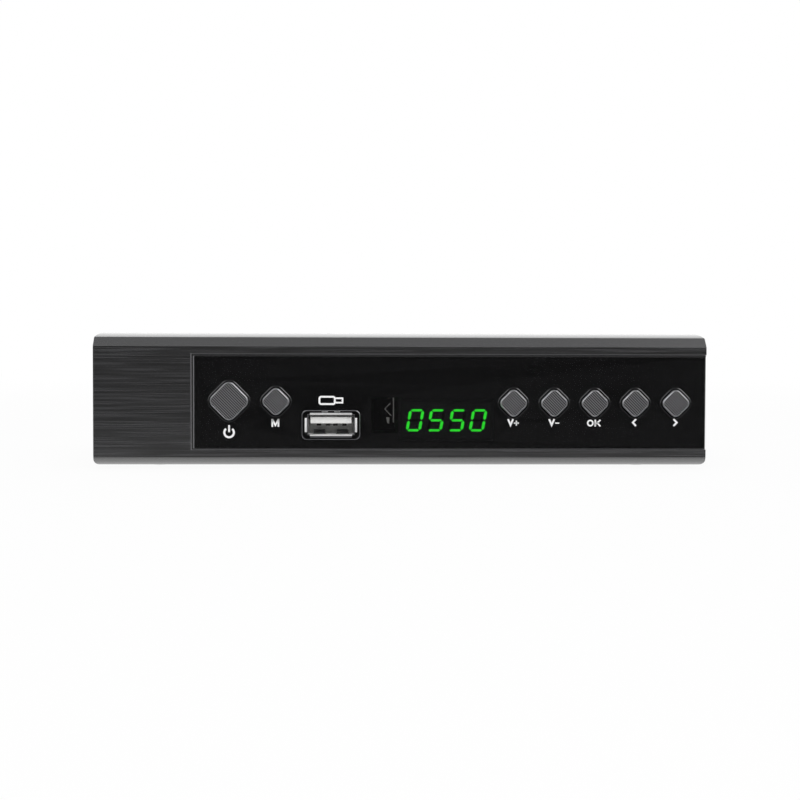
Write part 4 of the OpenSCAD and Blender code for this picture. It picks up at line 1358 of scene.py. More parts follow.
@dataclass
class Front:
    """The front moulding, the smoked window in it and what is printed on the window."""

    shop: Workshop
    face_low: float = 3.5
    face_high: float = 33.7
    groove: float = 0.2
    groove_depth: float = 0.12
    edge: float = 0.26
    window_edge: float = 0.08
    frame_top: float = 0.45
    frame_left: float = 0.6
    frame_foot: float = 0.22
    frame_sink: float = 0.08
    frame_rise: float = 0.05
    frame_edge: float = 0.06
    lip: float = 0.26
    port_lip: float = 0.21
    lip_rise: float = 0.17
    lip_root: float = 0.3
    lip_gap: float = 0.01
    power_hole: Point = (9.32, 9.32, 2.6)
    key_hole: Point = (7.08, 7.08, 2.36)
    port_hole: Point = (15.58, 7.68, 1.3)
    ink: float = 0.03
    thin_stroke: float = 0.31
    power_drop: float = 8.58
    power_r: float = 1.3
    power_stroke: float = 0.56
    power_turn: Pair = (130, 410)
    power_bar: Pair = (2.02, 0.1)
    stick_z: float = 18.98

    LETTER_WIDTHS = {"M": 2.12, "V": 1.7, "+": 1.44, "-": 1.15, "O": 1.85, "K": 1.7, "<": 1.2, ">": 1.25}
    STROKES = {
        "M": [[(0, 0), (0, 1)], [(1, 0), (1, 1)], [(0.06, 0.94), (0.5, 0.12), (0.94, 0.94)]],
        "V": [[(0, 1), (0.5, 0.1), (1, 1)]],
        "+": [[(0, 0.45), (1, 0.45)], [(0.5, 0.13), (0.5, 0.77)]],
        "-": [[(0, 0.45), (1, 0.45)]],
        "K": [[(0, 0), (0, 1)], [(1, 1), (0.1, 0.34)], [(0.36, 0.6), (1, 0)]],
        "<": [[(1, 1), (0, 0.5), (1, 0)]],
        ">": [[(0, 1), (1, 0.5), (0, 0)]],
    }
    WORDS = {
        "menu": Word("M", -0.13, 11.74, 2.12, stroke=0.46),
        "volume_up": Word("V+", -0.06, 11.9, gap=0.02),
        "volume_down": Word("V-", -0.02, 11.9, gap=0.12),
        "ok": Word("OK", -0.2, 11.9, 1.9, 0.24, 0.42),
        "left": Word("<", -0.25, 12.0),
        "right": Word(">", 0.0, 12.0),
    }

    @property
    def depths(self) -> Pair:
        """Where the printing starts and ends along Y: on the window's face."""
        face = block("front_window").low.y
        return face - self.ink, face

    def build(self) -> None:
        """Makes the moulding, the window with its lips, and the printing."""
        box = block("front_panel")
        panel = softened(cad_copy("front_panel"), self.edge)
        cuts = Form()
        for z in (self.face_low, self.face_high - self.groove):
            front, back = box.low.y - PAST, box.low.y + self.groove_depth
            cuts.box((box.low.x - PAST, front, z), (box.high.x + PAST, back, z + self.groove))
        panel = evened(shaded(carved(panel, cuts), 32))
        self.shop.hand_over(panel, Kit.moulding, "front_moulding", "front_panel")
        self.window()
        self.lips()
        self.power_mark()
        for key, word in self.WORDS.items():
            self.word(key, word)
        self.stick_mark()

    def window(self) -> None:
        """The smoked window, and a narrow frame of the moulding's plastic round three of its sides."""
        box = block("front_window")
        left, end = box.low.x + self.frame_left, box.high.x
        foot, top = box.low.z + self.frame_foot, box.high.z - self.frame_top
        start, far, near, back = box.low.x - PAST, end + PAST, box.low.y - PAST, box.high.y + PAST
        pane = cad_copy("front_window")
        for low, high in (
            ((start, near, top), (far, back, box.high.z + PAST)),
            ((start, near, box.low.z - PAST), (far, back, foot)),
            ((start, near, foot - PAST), (left, back, top + PAST)),
        ):
            carved(pane, Form().box(low, high))
        pane = evened(softened(pane, self.window_edge))
        self.shop.hand_over(pane, Kit.window, "smoked_window", "front_window")
        rise, front = box.high.z + self.frame_rise, box.low.y - self.frame_sink
        outline = [
            (box.low.x, box.low.z), (end, box.low.z), (end, foot), (left, foot), (left, top), (end, top),
            (end, rise), (box.low.x, rise),
        ]
        border = Form().prism(outline, front, box.high.y, Axis.Y).piece("window_frame")
        self.shop.hand_over(softened(border, self.frame_edge), Kit.moulding, "front_moulding")

    def lips(self) -> None:
        """A thin raised lip round each hole of the window."""
        keys, port = Form(), Form()
        for key in Keypad.KEYS:
            hole = self.power_hole if key == "power" else self.key_hole
            self.lip_ring(keys, block(f"{key}_button").mid, hole, 45, self.lip)
        self.lip_ring(port, block("front_port_shell").mid, self.port_hole, 0, self.port_lip)
        self.shop.hand_over(shaded(keys.piece("window_lips"), 30), Kit.lip, "smoked_window")
        self.shop.hand_over(shaded(port.piece("port_lip"), 30), Kit.port_lip, "smoked_window")

    def lip_ring(self, form: Form, mid: Vector, hole: Point, turn: float,
                 reach: float) -> None:
        """Adds one hole's lip to a form.

        Args:
            form: What gets the lip.
            mid: The hole's middle.
            hole: The lip's inner width, height and corner radius.
            turn: How far the hole is turned, in degrees.
            reach: How wide the lip is.
        """
        face = block("front_window").low.y
        width, height, corner = hole
        root, crest, gap = face + self.lip_root, face - self.lip_rise, self.lip_gap
        steps = ((gap, root), (gap, crest), (0.05, crest), (reach, face + 0.01), (reach, root))
        rings = []
        for out, y in steps:
            ring = rounded(width + 2 * out, height + 2 * out, corner + 0.4 * out, (mid.x, mid.z), turn)
            rings.append([Axis.Y.place(u, v, y) for u, v in ring])
        form.loft(rings, looped=True)

    def printed(self, form: Form, name: str) -> None:
        """Hands over a printed mark."""
        self.shop.hand_over(form.piece(name), Kit.ink, "smoked_window")

    def power_mark(self) -> None:
        """A ring that is open at the top, with a bar in the gap."""
        key = block("power_button").mid
        x, z = key.x, key.z - self.power_drop
        form = Form()
        ring = arc(self.power_r, *self.power_turn, (x, z), 36)
        form.ribbon(ring, self.power_stroke, *self.depths, Axis.Y)
        bar = [(x, z + end) for end in self.power_bar]
        form.ribbon(bar, self.power_stroke * 0.9, *self.depths, Axis.Y)
        self.printed(form, "power_mark")

    def word(self, key: str, word: Word) -> None:
        """Prints a short word under a key, in strokes of one width.

        Args:
            key: Which key.
            word: What it says, and where.
        """
        widths = [self.LETTER_WIDTHS[c] for c in word.text]
        middle = block(f"{key}_button").mid.x + word.shift
        left = middle - (sum(widths) + word.gap * (len(widths) - 1)) / 2
        form = Form()
        for letter, outer in zip(word.text, widths):
            stroke = self.thin_stroke if letter in "+-" else word.stroke
            wide, height = outer - stroke, word.height - stroke
            start, foot = left + stroke / 2, word.foot + stroke / 2
            if letter == "O":
                turns = circle(1, sides=28)
                ring = [(start + wide * (u + 1) / 2, foot + height * (v + 1) / 2) for u, v in turns]
                form.ribbon(ring, stroke, *self.depths, Axis.Y, looped=True)
            for path in self.STROKES.get(letter, []):
                points = [(start + u * wide, foot + v * height) for u, v in path]
                form.ribbon(lengthened(points, stroke / 2), stroke, *self.depths, Axis.Y)
            left += outer + word.gap
        self.printed(form, f"{key}_mark")

    def stick_mark(self) -> None:
        """A memory stick's outline over the port: a rounded body and an open plug."""
        body_w, body_h, plug_w, plug_h, line = 4.7, 2.5, 2.1, 1.7, 0.5
        mid = block("front_port_shell").mid
        left, z = mid.x - (body_w + plug_w) / 2, self.stick_z
        form = Form()
        ring = rounded(body_w - line, body_h - line, 0.5, (left + body_w / 2, z), steps=5)
        form.ribbon(ring, line, *self.depths, Axis.Y, looped=True)
        root, end = left + body_w, left + body_w + plug_w - line / 2
        top, foot = z + plug_h / 2 - line / 2, z - plug_h / 2 + line / 2
        plug = [(root, top), (end, top), (end, foot), (root, foot)]
        form.ribbon(plug, line * 0.9, *self.depths, Axis.Y)
        self.printed(form, "port_mark")


@dataclass
class KeySize:
    """One cap: its side and its corner radius."""

    side: float
    corner: float


@dataclass
class Keypad:
    """Seven diamond caps with a knurled face, and the switch behind each of them."""

    shop: Workshop
    power: KeySize = field(default_factory=lambda: KeySize(8.6, 2.05))
    small: KeySize = field(default_factory=lambda: KeySize(6.14, 1.62))
    rim: float = 0.34
    rim_fall: float = 0.28
    rim_root: float = 0.7
    bowl: float = 0.14
    pitch: float = 0.548
    skirt: float = 1.08
    skirt_t: float = 1.0
    stem_l: float = 1.2
    stem_r: float = 1.6
    plunger_r: float = 1.7
    rivet_x: float = 2.35

    KEYS = ("power", "menu", "volume_up", "volume_down", "ok", "left", "right")

    def build(self) -> None:
        """Makes each key with its plunger and its switch."""
        for key in self.KEYS:
            size = self.power if key == "power" else self.small
            self.cap(key, size)
            self.rim_ring(key, size)
            self.plunger(key)
            self.switch(key)

    @staticmethod
    def outline(key: str, size: KeySize, inset: float, y: float) -> list[Vector]:
        """The cap's outline at one depth.

        Args:
            key: Which key.
            size: The cap's size.
            inset: How far the outline is drawn in.
            y: The depth.

        Returns:
            The outline's points.
        """
        mid = block(f"{key}_button").mid
        side = size.side - 2 * inset
        points = rounded(side, side, max(0.15, size.corner - inset), (mid.x, mid.z), 45)
        return [Axis.Y.place(u, v, y) for u, v in points]

    def cap(self, key: str, size: KeySize) -> None:
        """The cap's knurled field, its skirt behind the window and its stem."""
        box = block(f"{key}_button")
        mid, front, back = box.mid, box.low.y, box.high.y
        root, skirt_y = front + self.rim_root, back - self.stem_l - self.skirt_t
        steps = (
            (self.rim, front + self.bowl), (self.rim, root), (0.0, root), (0.0, skirt_y),
            (-self.skirt + 0.1, skirt_y), (-self.skirt, skirt_y + 0.1),
            (-self.skirt, skirt_y + self.skirt_t),
        )
        rings = [self.outline(key, size, inset, y) for inset, y in steps]
        count = len(rings[0])
        first = rings[0][0]
        start = math.atan2(first.z - mid.z, first.x - mid.x)
        turns = [start + 2 * math.pi * i / count for i in range(count)]
        for y in (back - self.stem_l + 0.02, back):
            rings.append([
                Vector((mid.x + self.stem_r * math.cos(t), y, mid.z + self.stem_r * math.sin(t)))
                for t in turns
            ])
        body = shaded(Form().loft(rings).piece(f"{key}_cap"), 32)
        field_side = size.side - 2 * self.rim
        uneven = 0 if int(field_side / self.pitch) % 2 else self.pitch / 2
        ridge = (mid.x + mid.z) * math.sqrt(0.5) + uneven
        finish = replace(Kit.cap, name=f"{key}_key_plastic", groove=self.pitch, ridge=ridge)
        self.shop.knurl.grow(
            body, Side=field_side * MM, Corner=max(0.2, size.corner - self.rim) * MM,
            Pitch=self.pitch * MM, Height=(self.bowl + 0.01) * MM,
            Middle=Vector((mid.x, front + self.bowl + 0.01, mid.z)) * MM, Material=finish.material(),
        )
        self.shop.hand_over(body, finish, "key_caps", f"{key}_button", body=f"{key}_button")

    def rim_ring(self, key: str, size: KeySize) -> None:
        """The bright bevel round the cap."""
        front = block(f"{key}_button").low.y
        root, fall = front + self.rim_root - 0.01, front + self.rim_fall
        steps = (
            (self.rim - 0.01, root), (self.rim - 0.01, front + 0.04), (self.rim - 0.05, front),
            (0.03, fall), (-0.005, fall + 0.06), (-0.005, root),
        )
        rings = [self.outline(key, size, inset, y) for inset, y in steps]
        made = shaded(Form().loft(rings, looped=True).piece(f"{key}_rim"), 25)
        self.shop.hand_over(made, Kit.rim, "key_caps", body=f"{key}_button")

    def plunger(self, key: str) -> None:
        """The switch's own plunger, with a rounded end."""
        box = block(f"{key}_plunger")
        r, front = self.plunger_r, box.low.y
        profile = [(r - 0.25, front), (r - 0.07, front + 0.07), (r, front + 0.25), (r, box.high.y)]
        made = Form().lathe(profile, (box.mid.x, box.mid.z), Axis.Y).piece(f"{key}_plunger_skin")
        self.shop.hand_over(
            shaded(made, 50), Kit.plunger, "plunger_plastic", f"{key}_plunger", body=f"{key}_button"
        )

    def switch(self, key: str) -> None:
        """The switch's steel cover with its four rivets."""
        node = f"{key}_switch"
        self.shop.refine(node, Kit.tinned, "switch_steel", 0.12)
        box = block(node)
        rivets = Form()
        profile = [(0.42, box.low.y + 0.02), (0.4, box.low.y - 0.1), (0.2, box.low.y - 0.16)]
        for sx in (-1, 1):
            for sz in (-1, 1):
                spot = (box.mid.x + sx * self.rivet_x, box.mid.z + sz * self.rivet_x)
                rivets.lathe(profile, spot, Axis.Y, 14)
        self.shop.hand_over(shaded(rivets.piece(f"{key}_switch_rivets")), Kit.black, "switch_steel")


@dataclass
class Display:
    """The four-digit display behind the window, with its bars lit to show a channel."""

    shop: Workshop
    shown: str = "0550"
    digit_w: float = 4.2
    digit_h: float = 6.12
    pitch: float = 5.8
    shift: float = 0.12
    lift: float = -0.03
    slant: float = 10.0
    level_bar: float = 0.62
    upright_bar: float = 0.78
    gap: float = 0.14
    foam_w: float = 0.68
    foam_depths: Pair = (-0.4, 0.7)

    BARS_LIT = {"0": "abcdef", "5": "acdfg"}

    def build(self) -> None:
        """Makes the body, the foam round it and the lit and unlit bars."""
        self.shop.refine("display_module", Kit.body_black, "display_body", 0.2)
        self.foam()
        box = block("display_segments")
        lit, unlit = Form(), Form()
        for place, digit in enumerate(self.shown):
            for name, outline in self.bars().items():
                form = lit if name in self.BARS_LIT[digit] else unlit
                form.prism(self.placed(outline, place), box.low.y, box.high.y, Axis.Y)
        self.shop.hand_over(lit.piece("digits_lit"), Kit.lit, "display_light", "display_segments")
        self.shop.hand_over(unlit.piece("digits_unlit"), Kit.unlit, "display_light")

    def foam(self) -> None:
        """The foam strip that fills the gap between the module and its opening in the moulding."""
        box = block("display_module")
        inner = (box.size.x, box.size.z)
        outer = (box.size.x + 2 * self.foam_w, box.size.z + 2 * self.foam_w)
        depths = (box.low.y + self.foam_depths[0], box.low.y + self.foam_depths[1])
        form = Form().border(outer, inner, (box.mid.x, box.mid.z), depths, 0.2, 3)
        self.shop.hand_over(shaded(form.piece("display_gasket")), Kit.foam, "foot_rubber")

    def placed(self, outline: Outline, place: int) -> Outline:
        """A bar of the digit at one place, leaning to the right."""
        mid = block("display_module").mid
        lean = math.tan(math.radians(self.slant))
        left = mid.x + self.shift + (place - (len(self.shown) - 1) / 2) * self.pitch
        return [(left + u + v * lean, mid.z + self.lift + v) for u, v in outline]

    def bars(self) -> dict[str, Outline]:
        """The seven bars of an upright digit, by their usual letters."""
        rise = (self.digit_h - self.level_bar) / 2
        side = (self.digit_w - self.upright_bar) / 2
        level = self.pointed(2 * side - 2 * self.gap, self.level_bar)
        upright = [(-v, u) for u, v in self.pointed(rise - 2 * self.gap, self.upright_bar)]
        return {
            "a": shifted(level, 0, rise), "g": level, "d": shifted(level, 0, -rise),
            "b": shifted(upright, side, rise / 2), "c": shifted(upright, side, -rise / 2),
            "f": shifted(upright, -side, rise / 2), "e": shifted(upright, -side, -rise / 2),
        }

    @staticmethod
    def pointed(length: float, thickness: float) -> Outline:
        """A level bar with pointed ends."""
        half, h = length / 2, thickness / 2
        return [(-half, 0), (-half + h, -h), (half - h, -h), (half, 0), (half - h, h), (-half + h, h)]


@dataclass
class RemoteEye:
    """The receiver for the remote control, its steel screen and a wire bracket."""

    shop: Workshop
    sheet: float = 0.32
    screen_x: float = -2.3
    screen_reach: float = 1.1
    screen_foot: float = 6.3
    screen_rise: float = 0.5
    wire_r: float = 0.17
    wire_depth: float = 0.5
    glint_drop: float = 4.85

    BENDS = ((-0.7, 1.15), (-1.6, 0.3), (-2.2, -0.35), (-1.6, -1.05), (-0.45, -2.25))

    def build(self) -> None:
        """Makes the eye, what holds it, and a pale tin piece that stands in for a glint, as a painted
        highlight.
        """
        self.shop.refine("ir_receiver", Kit.eye, "eye_epoxy", 0.15)
        box = block("ir_receiver")
        front, top = box.low.y, box.high.z
        low = (self.screen_x, front - self.screen_reach, top - self.screen_foot)
        high = (self.screen_x + self.sheet, front + 0.05, top + self.screen_rise)
        screen = softened(Form().box(low, high).piece("eye_screen"), 0.06)
        self.shop.hand_over(screen, Kit.screen, "tinned_steel")
        y = front - self.wire_depth
        path = [(self.screen_x + dx, y, top - 2.2 + dz) for dx, dz in self.BENDS]
        wire = shaded(Form().wire(path, self.wire_r).piece("eye_wire"))
        self.shop.hand_over(wire, Kit.screen, "tinned_steel")
        # Painted glint: a small pale piece placed where a glint shows.
        x, z = self.screen_x - 1.4, top - self.glint_drop
        outline = [(x - 0.45, z), (x - 0.1, z - 1.6), (x + 0.4, z - 1.8), (x + 0.55, z)]
        tab = softened(Form().prism(outline, y - 0.2, y + 0.1, Axis.Y).piece("eye_tab"), 0.06)
        self.shop.hand_over(tab, Kit.screen, "tinned_steel")


@dataclass
class FrontPort:
    """The serial port behind its opening in the window."""

    shop: Workshop
    mouth_w: float = 12.5
    mouth_h: float = 5.12
    sheet: float = 0.3
    corner_cut: float = 0.45
    flare_l: float = 0.9
    spring_x: float = 3.2
    spring_w: float = 3.2
    spring_t: float = 0.25
    gasket_size: Pair = (18.0, 9.9)
    gasket_depths: Pair = (-49.15, -47.0)
    contact_w: float = 1.2
    contact_t: float = 0.26
    contact_shift: float = 0.2
    blade_l: float = 8.6
    blade_t: float = 1.84
    blade_drop: float = 2.18
    blade_inset: float = 0.5

    def build(self) -> None:
        """Makes the shell with its springs, the tongue, the contacts and the foam frame."""
        box = block("front_port_shell")
        shell = cad_copy("front_port_shell")
        windows, corners = Form(), Form()
        for sx in (-1, 1):
            x = box.mid.x + sx * self.spring_x
            half = self.spring_w / 2 + 0.2
            u = box.mid.x + sx * (self.mouth_w / 2 - self.corner_cut)
            for sz in (-1, 1):
                z = box.mid.z + sz * (self.mouth_h + self.sheet) / 2
                windows.box((x - half, box.high.y - 11.6, z - 0.5), (x + half, box.high.y - 3.9, z + 0.5))
                v = box.mid.z + sz * (self.mouth_h / 2 - self.corner_cut)
                left, low = min(u, u + sx * 3), min(v, v + sz * 3)
                corners.box((left, box.low.y - PAST, low), (left + 3, box.low.y + self.flare_l, low + 3))
        softened(carved(shell, windows), 0.06)
        shell = evened(shaded(carved(shell, corners)))
        self.shop.hand_over(shell, Kit.shell, "port_steel", "front_port_shell")
        self.springs(box)
        self.tongue()
        self.contacts()
        self.gasket(box)

    def tongue(self) -> None:
        """The white tongue: a blade with a chamfered front end, on its thicker root."""
        box = block("front_port_tongue")
        tip, root = box.low.y, box.low.y + self.blade_l
        under = box.high.z - self.blade_drop
        top = under + self.blade_t
        blade = [
            (tip, under + 0.15), (tip + 0.25, under), (root + 0.1, under), (root + 0.1, top),
            (tip + 0.15, top), (tip, top - 0.15),
        ]
        form = Form().prism(blade, box.low.x + self.blade_inset, box.high.x - self.blade_inset, Axis.X)
        form.box((box.low.x, root, box.low.z), tuple(box.high))
        made = softened(form.piece("front_port_blade"), 0.1)
        self.shop.hand_over(made, Kit.white, "port_insulator", "front_port_tongue")

    def contacts(self) -> None:
        """Four strips that are bent down under the tongue's front end."""
        form = Form()
        for strip in islands("front_port_contacts"):
            x, z, front = strip.mid.x, strip.mid.z, strip.low.y
            path = [
                (strip.high.y, z - 0.42), (front + 1.4, z - 0.42), (front + 0.8, z - 0.68),
                (front + 0.1, z - 0.72),
            ]
            left = x + self.contact_shift - self.contact_w / 2
            form.ribbon(path, self.contact_t, left, left + self.contact_w, Axis.X)
        made = softened(form.piece("front_port_strips"), 0.04)
        self.shop.hand_over(made, Kit.port_contact, "contact_metal", "front_port_contacts")

    def gasket(self, box: Block) -> None:
        """A black foam frame between the shell and the front's wall.

        Args:
            box: The box round the shell.
        """
        inner = (self.mouth_w + 2 * self.sheet + 0.1, self.mouth_h + 2 * self.sheet + 0.1)
        form = Form().border(self.gasket_size, inner, (box.mid.x, box.mid.z), self.gasket_depths, 0.6, 4)
        self.shop.hand_over(shaded(form.piece("front_port_gasket")), Kit.rubber, "foot_rubber")

    def springs(self, box: Block) -> None:
        """Four bent springs in the shell's windows and two tabs over its mouth.

        Args:
            box: The box round the shell.
        """
        form, tabs = Form(), Form()
        back, half_h = box.high.y, (self.mouth_h + self.sheet) / 2
        for sx in (-1, 1):
            x = box.mid.x + sx * self.spring_x
            span = (x - self.spring_w / 2, x + self.spring_w / 2)
            for sz, dip in ((-1, 1.15), (1, 0.5)):
                wall = box.mid.z + sz * half_h
                path = [
                    (back - 3.7, wall), (back - 5.0, wall - sz * 0.12),
                    (back - 9.3, wall - sz * dip), (back - 11.2, wall - sz * dip * 0.45),
                ]
                form.ribbon(path, self.spring_t, *span, Axis.X)
            tab, top = box.mid.x + sx * 1.7, box.mid.z + half_h
            path = [(back - 11.4, top), (back - 12.1, top + 0.35), (back - 12.5, top + 1.05)]
            tabs.ribbon(path, self.spring_t, tab - 0.85, tab + 0.85, Axis.X)
        self.shop.hand_over(softened(form.piece("front_port_springs"), 0.05), Kit.spring, "port_steel")
        self.shop.hand_over(softened(tabs.piece("front_port_tabs"), 0.05), Kit.tab, "port_steel")


@dataclass
class Screw:
    """A screw with a low round head and a crossed recess."""

    head_r: float
    head_t: float
    shaft_r: float
    length: float

    def model(self) -> Piece:
        """One screw: its head's underside at the origin, its head up."""
        r, t = self.head_r, self.head_t
        low, core = -self.length, self.shaft_r
        shaft = [(core * 0.6, low), (core, low + 0.4), (core, 0.0)]
        dome = [(r * 0.93, t * 0.68), (r * 0.78, t * 0.88), (r * 0.5, t)]
        head = [(r - 0.08, 0.0), (r, 0.08), (r, t * 0.4), *dome]
        made = Form().lathe(shaft + head, sides=28).piece("screw_model")
        reach, half = r * 0.58, r * 0.13
        for turn in (0, 90):
            carved(made, Form().box((-reach, -half, t * 0.4), (reach, half, t + 1)).turned(turn))
        return shaded(made, 35)


@dataclass
class Casing:
    """The folded chassis, the cover, their screws and the feet."""

    shop: Workshop
    screw: Screw = field(default_factory=lambda: Screw(2.7, 1.1, 1.5, 5))
    foot_r: float = 6.0
    foot_edge: float = 1.9

    def build(self) -> None:
        """Makes the two shells, the screws and the feet."""
        self.shop.refine("chassis", Kit.zinc, "chassis_steel", 0.12)
        self.shop.refine("top_cover", Kit.paint, "cover_paint", 0.14)
        self.shop.copies(
            "cover_screw_set", self.screw.model(), self.screw_spots(), self.shop.upright,
            Kit.screw_black, "black_screws", "cover_screws",
        )
        for end in ("front", "rear"):
            for side in ("left", "right"):
                self.foot(f"foot_{end}_{side}")

    def screw_spots(self) -> list[Spot]:
        """Where each cover screw sits on the cover, and which way its head looks."""
        cover = block("top_cover")
        spots: list[Spot] = []
        for screw in islands("cover_screws"):
            mid = screw.mid
            if screw.high.y > cover.high.y + 0.5:
                spots.append(((mid.x, cover.high.y, mid.z), (0, 1, 0)))
            elif mid.x < 0:
                spots.append(((cover.low.x, mid.y, mid.z), (-1, 0, 0)))
            else:
                spots.append(((cover.high.x, mid.y, mid.z), (1, 0, 0)))
        return spots

    def foot(self, node: str) -> None:
        """A moulded foot with a rounded edge and two grooves in its sole."""
        box = block(node)
        r, e, top = self.foot_r, self.foot_edge, box.high.z
        sole = [(0.4, 0.45), (1.6, 0.45), (1.9, 0.0), (2.7, 0.0), (2.9, 0.35), (3.3, 0.35), (3.5, 0.0)]
        turns = (0, math.pi / 6, math.pi / 3, math.pi / 2)
        edge = [(r - e + e * math.sin(a), e - e * math.cos(a)) for a in turns]
        profile = sole + edge + [(r, top - 0.15), (r - 0.15, top)]
        made = Form().lathe(profile, (box.mid.x, box.mid.y), Axis.Z, 48).piece(f"{node}_skin")
        self.shop.hand_over(shaded(made, 35), Kit.rubber, "foot_rubber", node)


@dataclass
class Boards:
    """The two circuit boards and what is soldered to them."""

    shop: Workshop
    board_screw: Screw = field(default_factory=lambda: Screw(2.7, 1.1, 1.5, 5))
    key_screw: Screw = field(default_factory=lambda: Screw(2.0, 1.1, 1.0, 6.5))
    link_pitch: float = 2.54
    bar_ends: Pair = (3.2, 0.7)
    pin_r: float = 0.3
    pin_tip: Pair = (0.16, 0.25)
    leg_pitch: float = 0.8
    strewn_gap: float = 2.4
    strewn_density: float = 60000.0
    ground_cell: float = 4.0
    ground_edge: float = 5.0
    ground_clear: float = 1.6
    seed: int = 7

    STANDING = (
        "chips", "capacitors", "board_screws", "tuner_can", "av_socket_housing", "network_jack",
        "audio_jack_body", "power_inlet", "video_socket_shell", "board_link", "front_port_shell",
    )

    def build(self) -> None:
        """Makes the boards, their screws and their components."""
        self.shop.keep("main_board", Kit.board)
        self.shop.keep("key_board", Kit.key_board)
        self.screws("board_screws", self.board_screw, (0, 0, 1))
        self.screws("key_board_screws", self.key_screw, (0, 1, 0))
        self.link()
        self.chips()
        self.shop.refine("heat_sink", Kit.anodised, "black_anodised", 0.12)
        self.capacitors()
        self.small_parts()

    def screws(self, node: str, screw: Screw, way: Point) -> None:
        """One board's screws.

        Args:
            node: The CAD node that holds them.
            screw: Their size.
            way: The way that their heads look.
        """
        spots: list[Spot] = []
        for solid in islands(node):
            under = [solid.high[i] - screw.head_t if way[i] else solid.mid[i] for i in range(3)]
            spots.append(((under[0], under[1], under[2]), way))
        self.shop.copies(
            f"{node}_set", screw.model(), spots, self.shop.upright, Kit.screw_zinc, "zinc_screws", node
        )

    def link(self) -> None:
        """The pin header between the boards: a black bar and a row of pins."""
        box = block("board_link")
        near, far = (box.high.y - end for end in self.bar_ends)
        bar = Form().box((box.low.x, near, box.low.z), (box.high.x, far, box.high.z))
        made = softened(bar.piece("link_bar"), 0.25)
        self.shop.hand_over(made, Kit.black, "black_plastic", "board_link")
        length = box.size.y
        r, (tip_r, tip) = self.pin_r, self.pin_tip
        pin = Form().lathe([(tip_r, 0), (r, tip), (r, length - tip), (tip_r, length)], sides=8)
        count = round(box.size.x / self.link_pitch)
        first = box.mid.x - (count - 1) / 2 * self.link_pitch
        spots: list[Spot] = [
            ((first + i * self.link_pitch, box.low.y, box.mid.z), (0, 1, 0)) for i in range(count)
        ]
        model = pin.piece("pin_model")
        self.shop.copies("link_pins", model, spots, self.shop.upright, Kit.gold, "contact_metal")

    def chips(self) -> None:
        """Chip bodies, and bent legs along the memory chips' long sides."""
        self.shop.refine("chips", Kit.epoxy, "chip_epoxy", 0.12)
        bend = [(-0.2, 0.75), (0.25, 0.75), (0.5, 0.15), (1.0, 0.08)]
        leg = Form().ribbon(bend, 0.14, -0.13, 0.13, Axis.Y)
        spots: list[Spot] = []
        dots = Form()
        for chip in islands("chips"):
            if chip.size.x < chip.size.y + 1:
                continue
            count = int(chip.size.x / self.leg_pitch) - 1
            for i in range(count):
                x = chip.mid.x + (i - (count - 1) / 2) * self.leg_pitch
                ends = ((chip.high.y, 1), (chip.low.y, -1))
                spots += [((x, y, chip.low.z), (0, out, 0)) for y, out in ends]
            spot = (chip.low.x + 1.2, chip.low.y + 1.2)
            dots.lathe([(0.55, chip.high.z - 0.01), (0.5, chip.high.z + 0.02)], spot, Axis.Z, 16)
        model = leg.piece("leg_model")
        self.shop.copies("chip_legs", model, spots, self.shop.sideways, Kit.tinned, "contact_metal")
        self.shop.hand_over(dots.piece("chip_dots"), Kit.anodised, "chip_epoxy")

    def capacitors(self) -> None:
        """Sleeved cans with a waist near the foot, a scored top and a pale stripe."""
        cans, tops, stripes, scores = Form(), Form(), Form(), Form()
        for can in islands("capacitors"):
            spot, r = (can.mid.x, can.mid.y), can.size.x / 2
            foot, top = can.low.z, can.high.z
            base = [(r - 0.15, foot), (r, foot + 0.2), (r, foot + 1.2)]
            waist = base + [(r - 0.3, foot + 1.6), (r, foot + 2.0)]
            crown = [(r, top - 0.4), (r - 0.12, top - 0.12), (r - 0.5, top), (r - 0.75, top - 0.12)]
            cans.lathe(waist + crown, spot, Axis.Z, 36)
            tops.lathe([(r - 0.7, top - 0.2), (r - 0.75, top - 0.08)], spot, Axis.Z, 30)
            outline = arc(r + 0.02, -28, 28, spot, 8) + arc(r - 0.1, 28, -28, spot, 8)
            stripes.prism(outline, foot + 2.1, top - 0.45, Axis.Z)
            reach = r * 0.6
            low = (spot[0] - reach, spot[1] - 0.08, top - 0.14)
            scores.box(low, (spot[0] + reach, spot[1] + 0.08, top + 1))
        can_piece = shaded(cans.piece("capacitor_cans"))
        self.shop.hand_over(can_piece, Kit.sleeve, "capacitor_sleeve", "capacitors")
        self.shop.hand_over(carved(tops.piece("capacitor_tops"), scores), Kit.can_top, "contact_metal")
        self.shop.hand_over(shaded(stripes.piece("capacitor_stripes")), Kit.stripe, "capacitor_sleeve")

    def small_parts(self) -> None:
        """Resistors and small capacitors strewn between the large parts, as bodies and tinned ends."""
        body = Form().box((-0.62, -0.38, 0.03), (0.62, 0.38, 0.42))
        ends = Form().box((-0.8, -0.4, 0.0), (-0.55, 0.4, 0.45)).box((0.55, -0.4, 0.0), (0.8, 0.4, 0.45))
        for name, form, finish, slot in (
            ("small_part_bodies", body, Kit.epoxy, "chip_epoxy"),
            ("small_part_ends", ends, Kit.tinned, "contact_metal"),
        ):
            model = form.piece("part_model")
            made = self.shop.scatter.grow(
                self.free_ground(name), Model=model, Spacing=self.strewn_gap * MM,
                Density=self.strewn_density, Seed=self.seed, Material=finish.material(),
            )
            discarded(model)
            self.shop.hand_over(made, finish, slot)

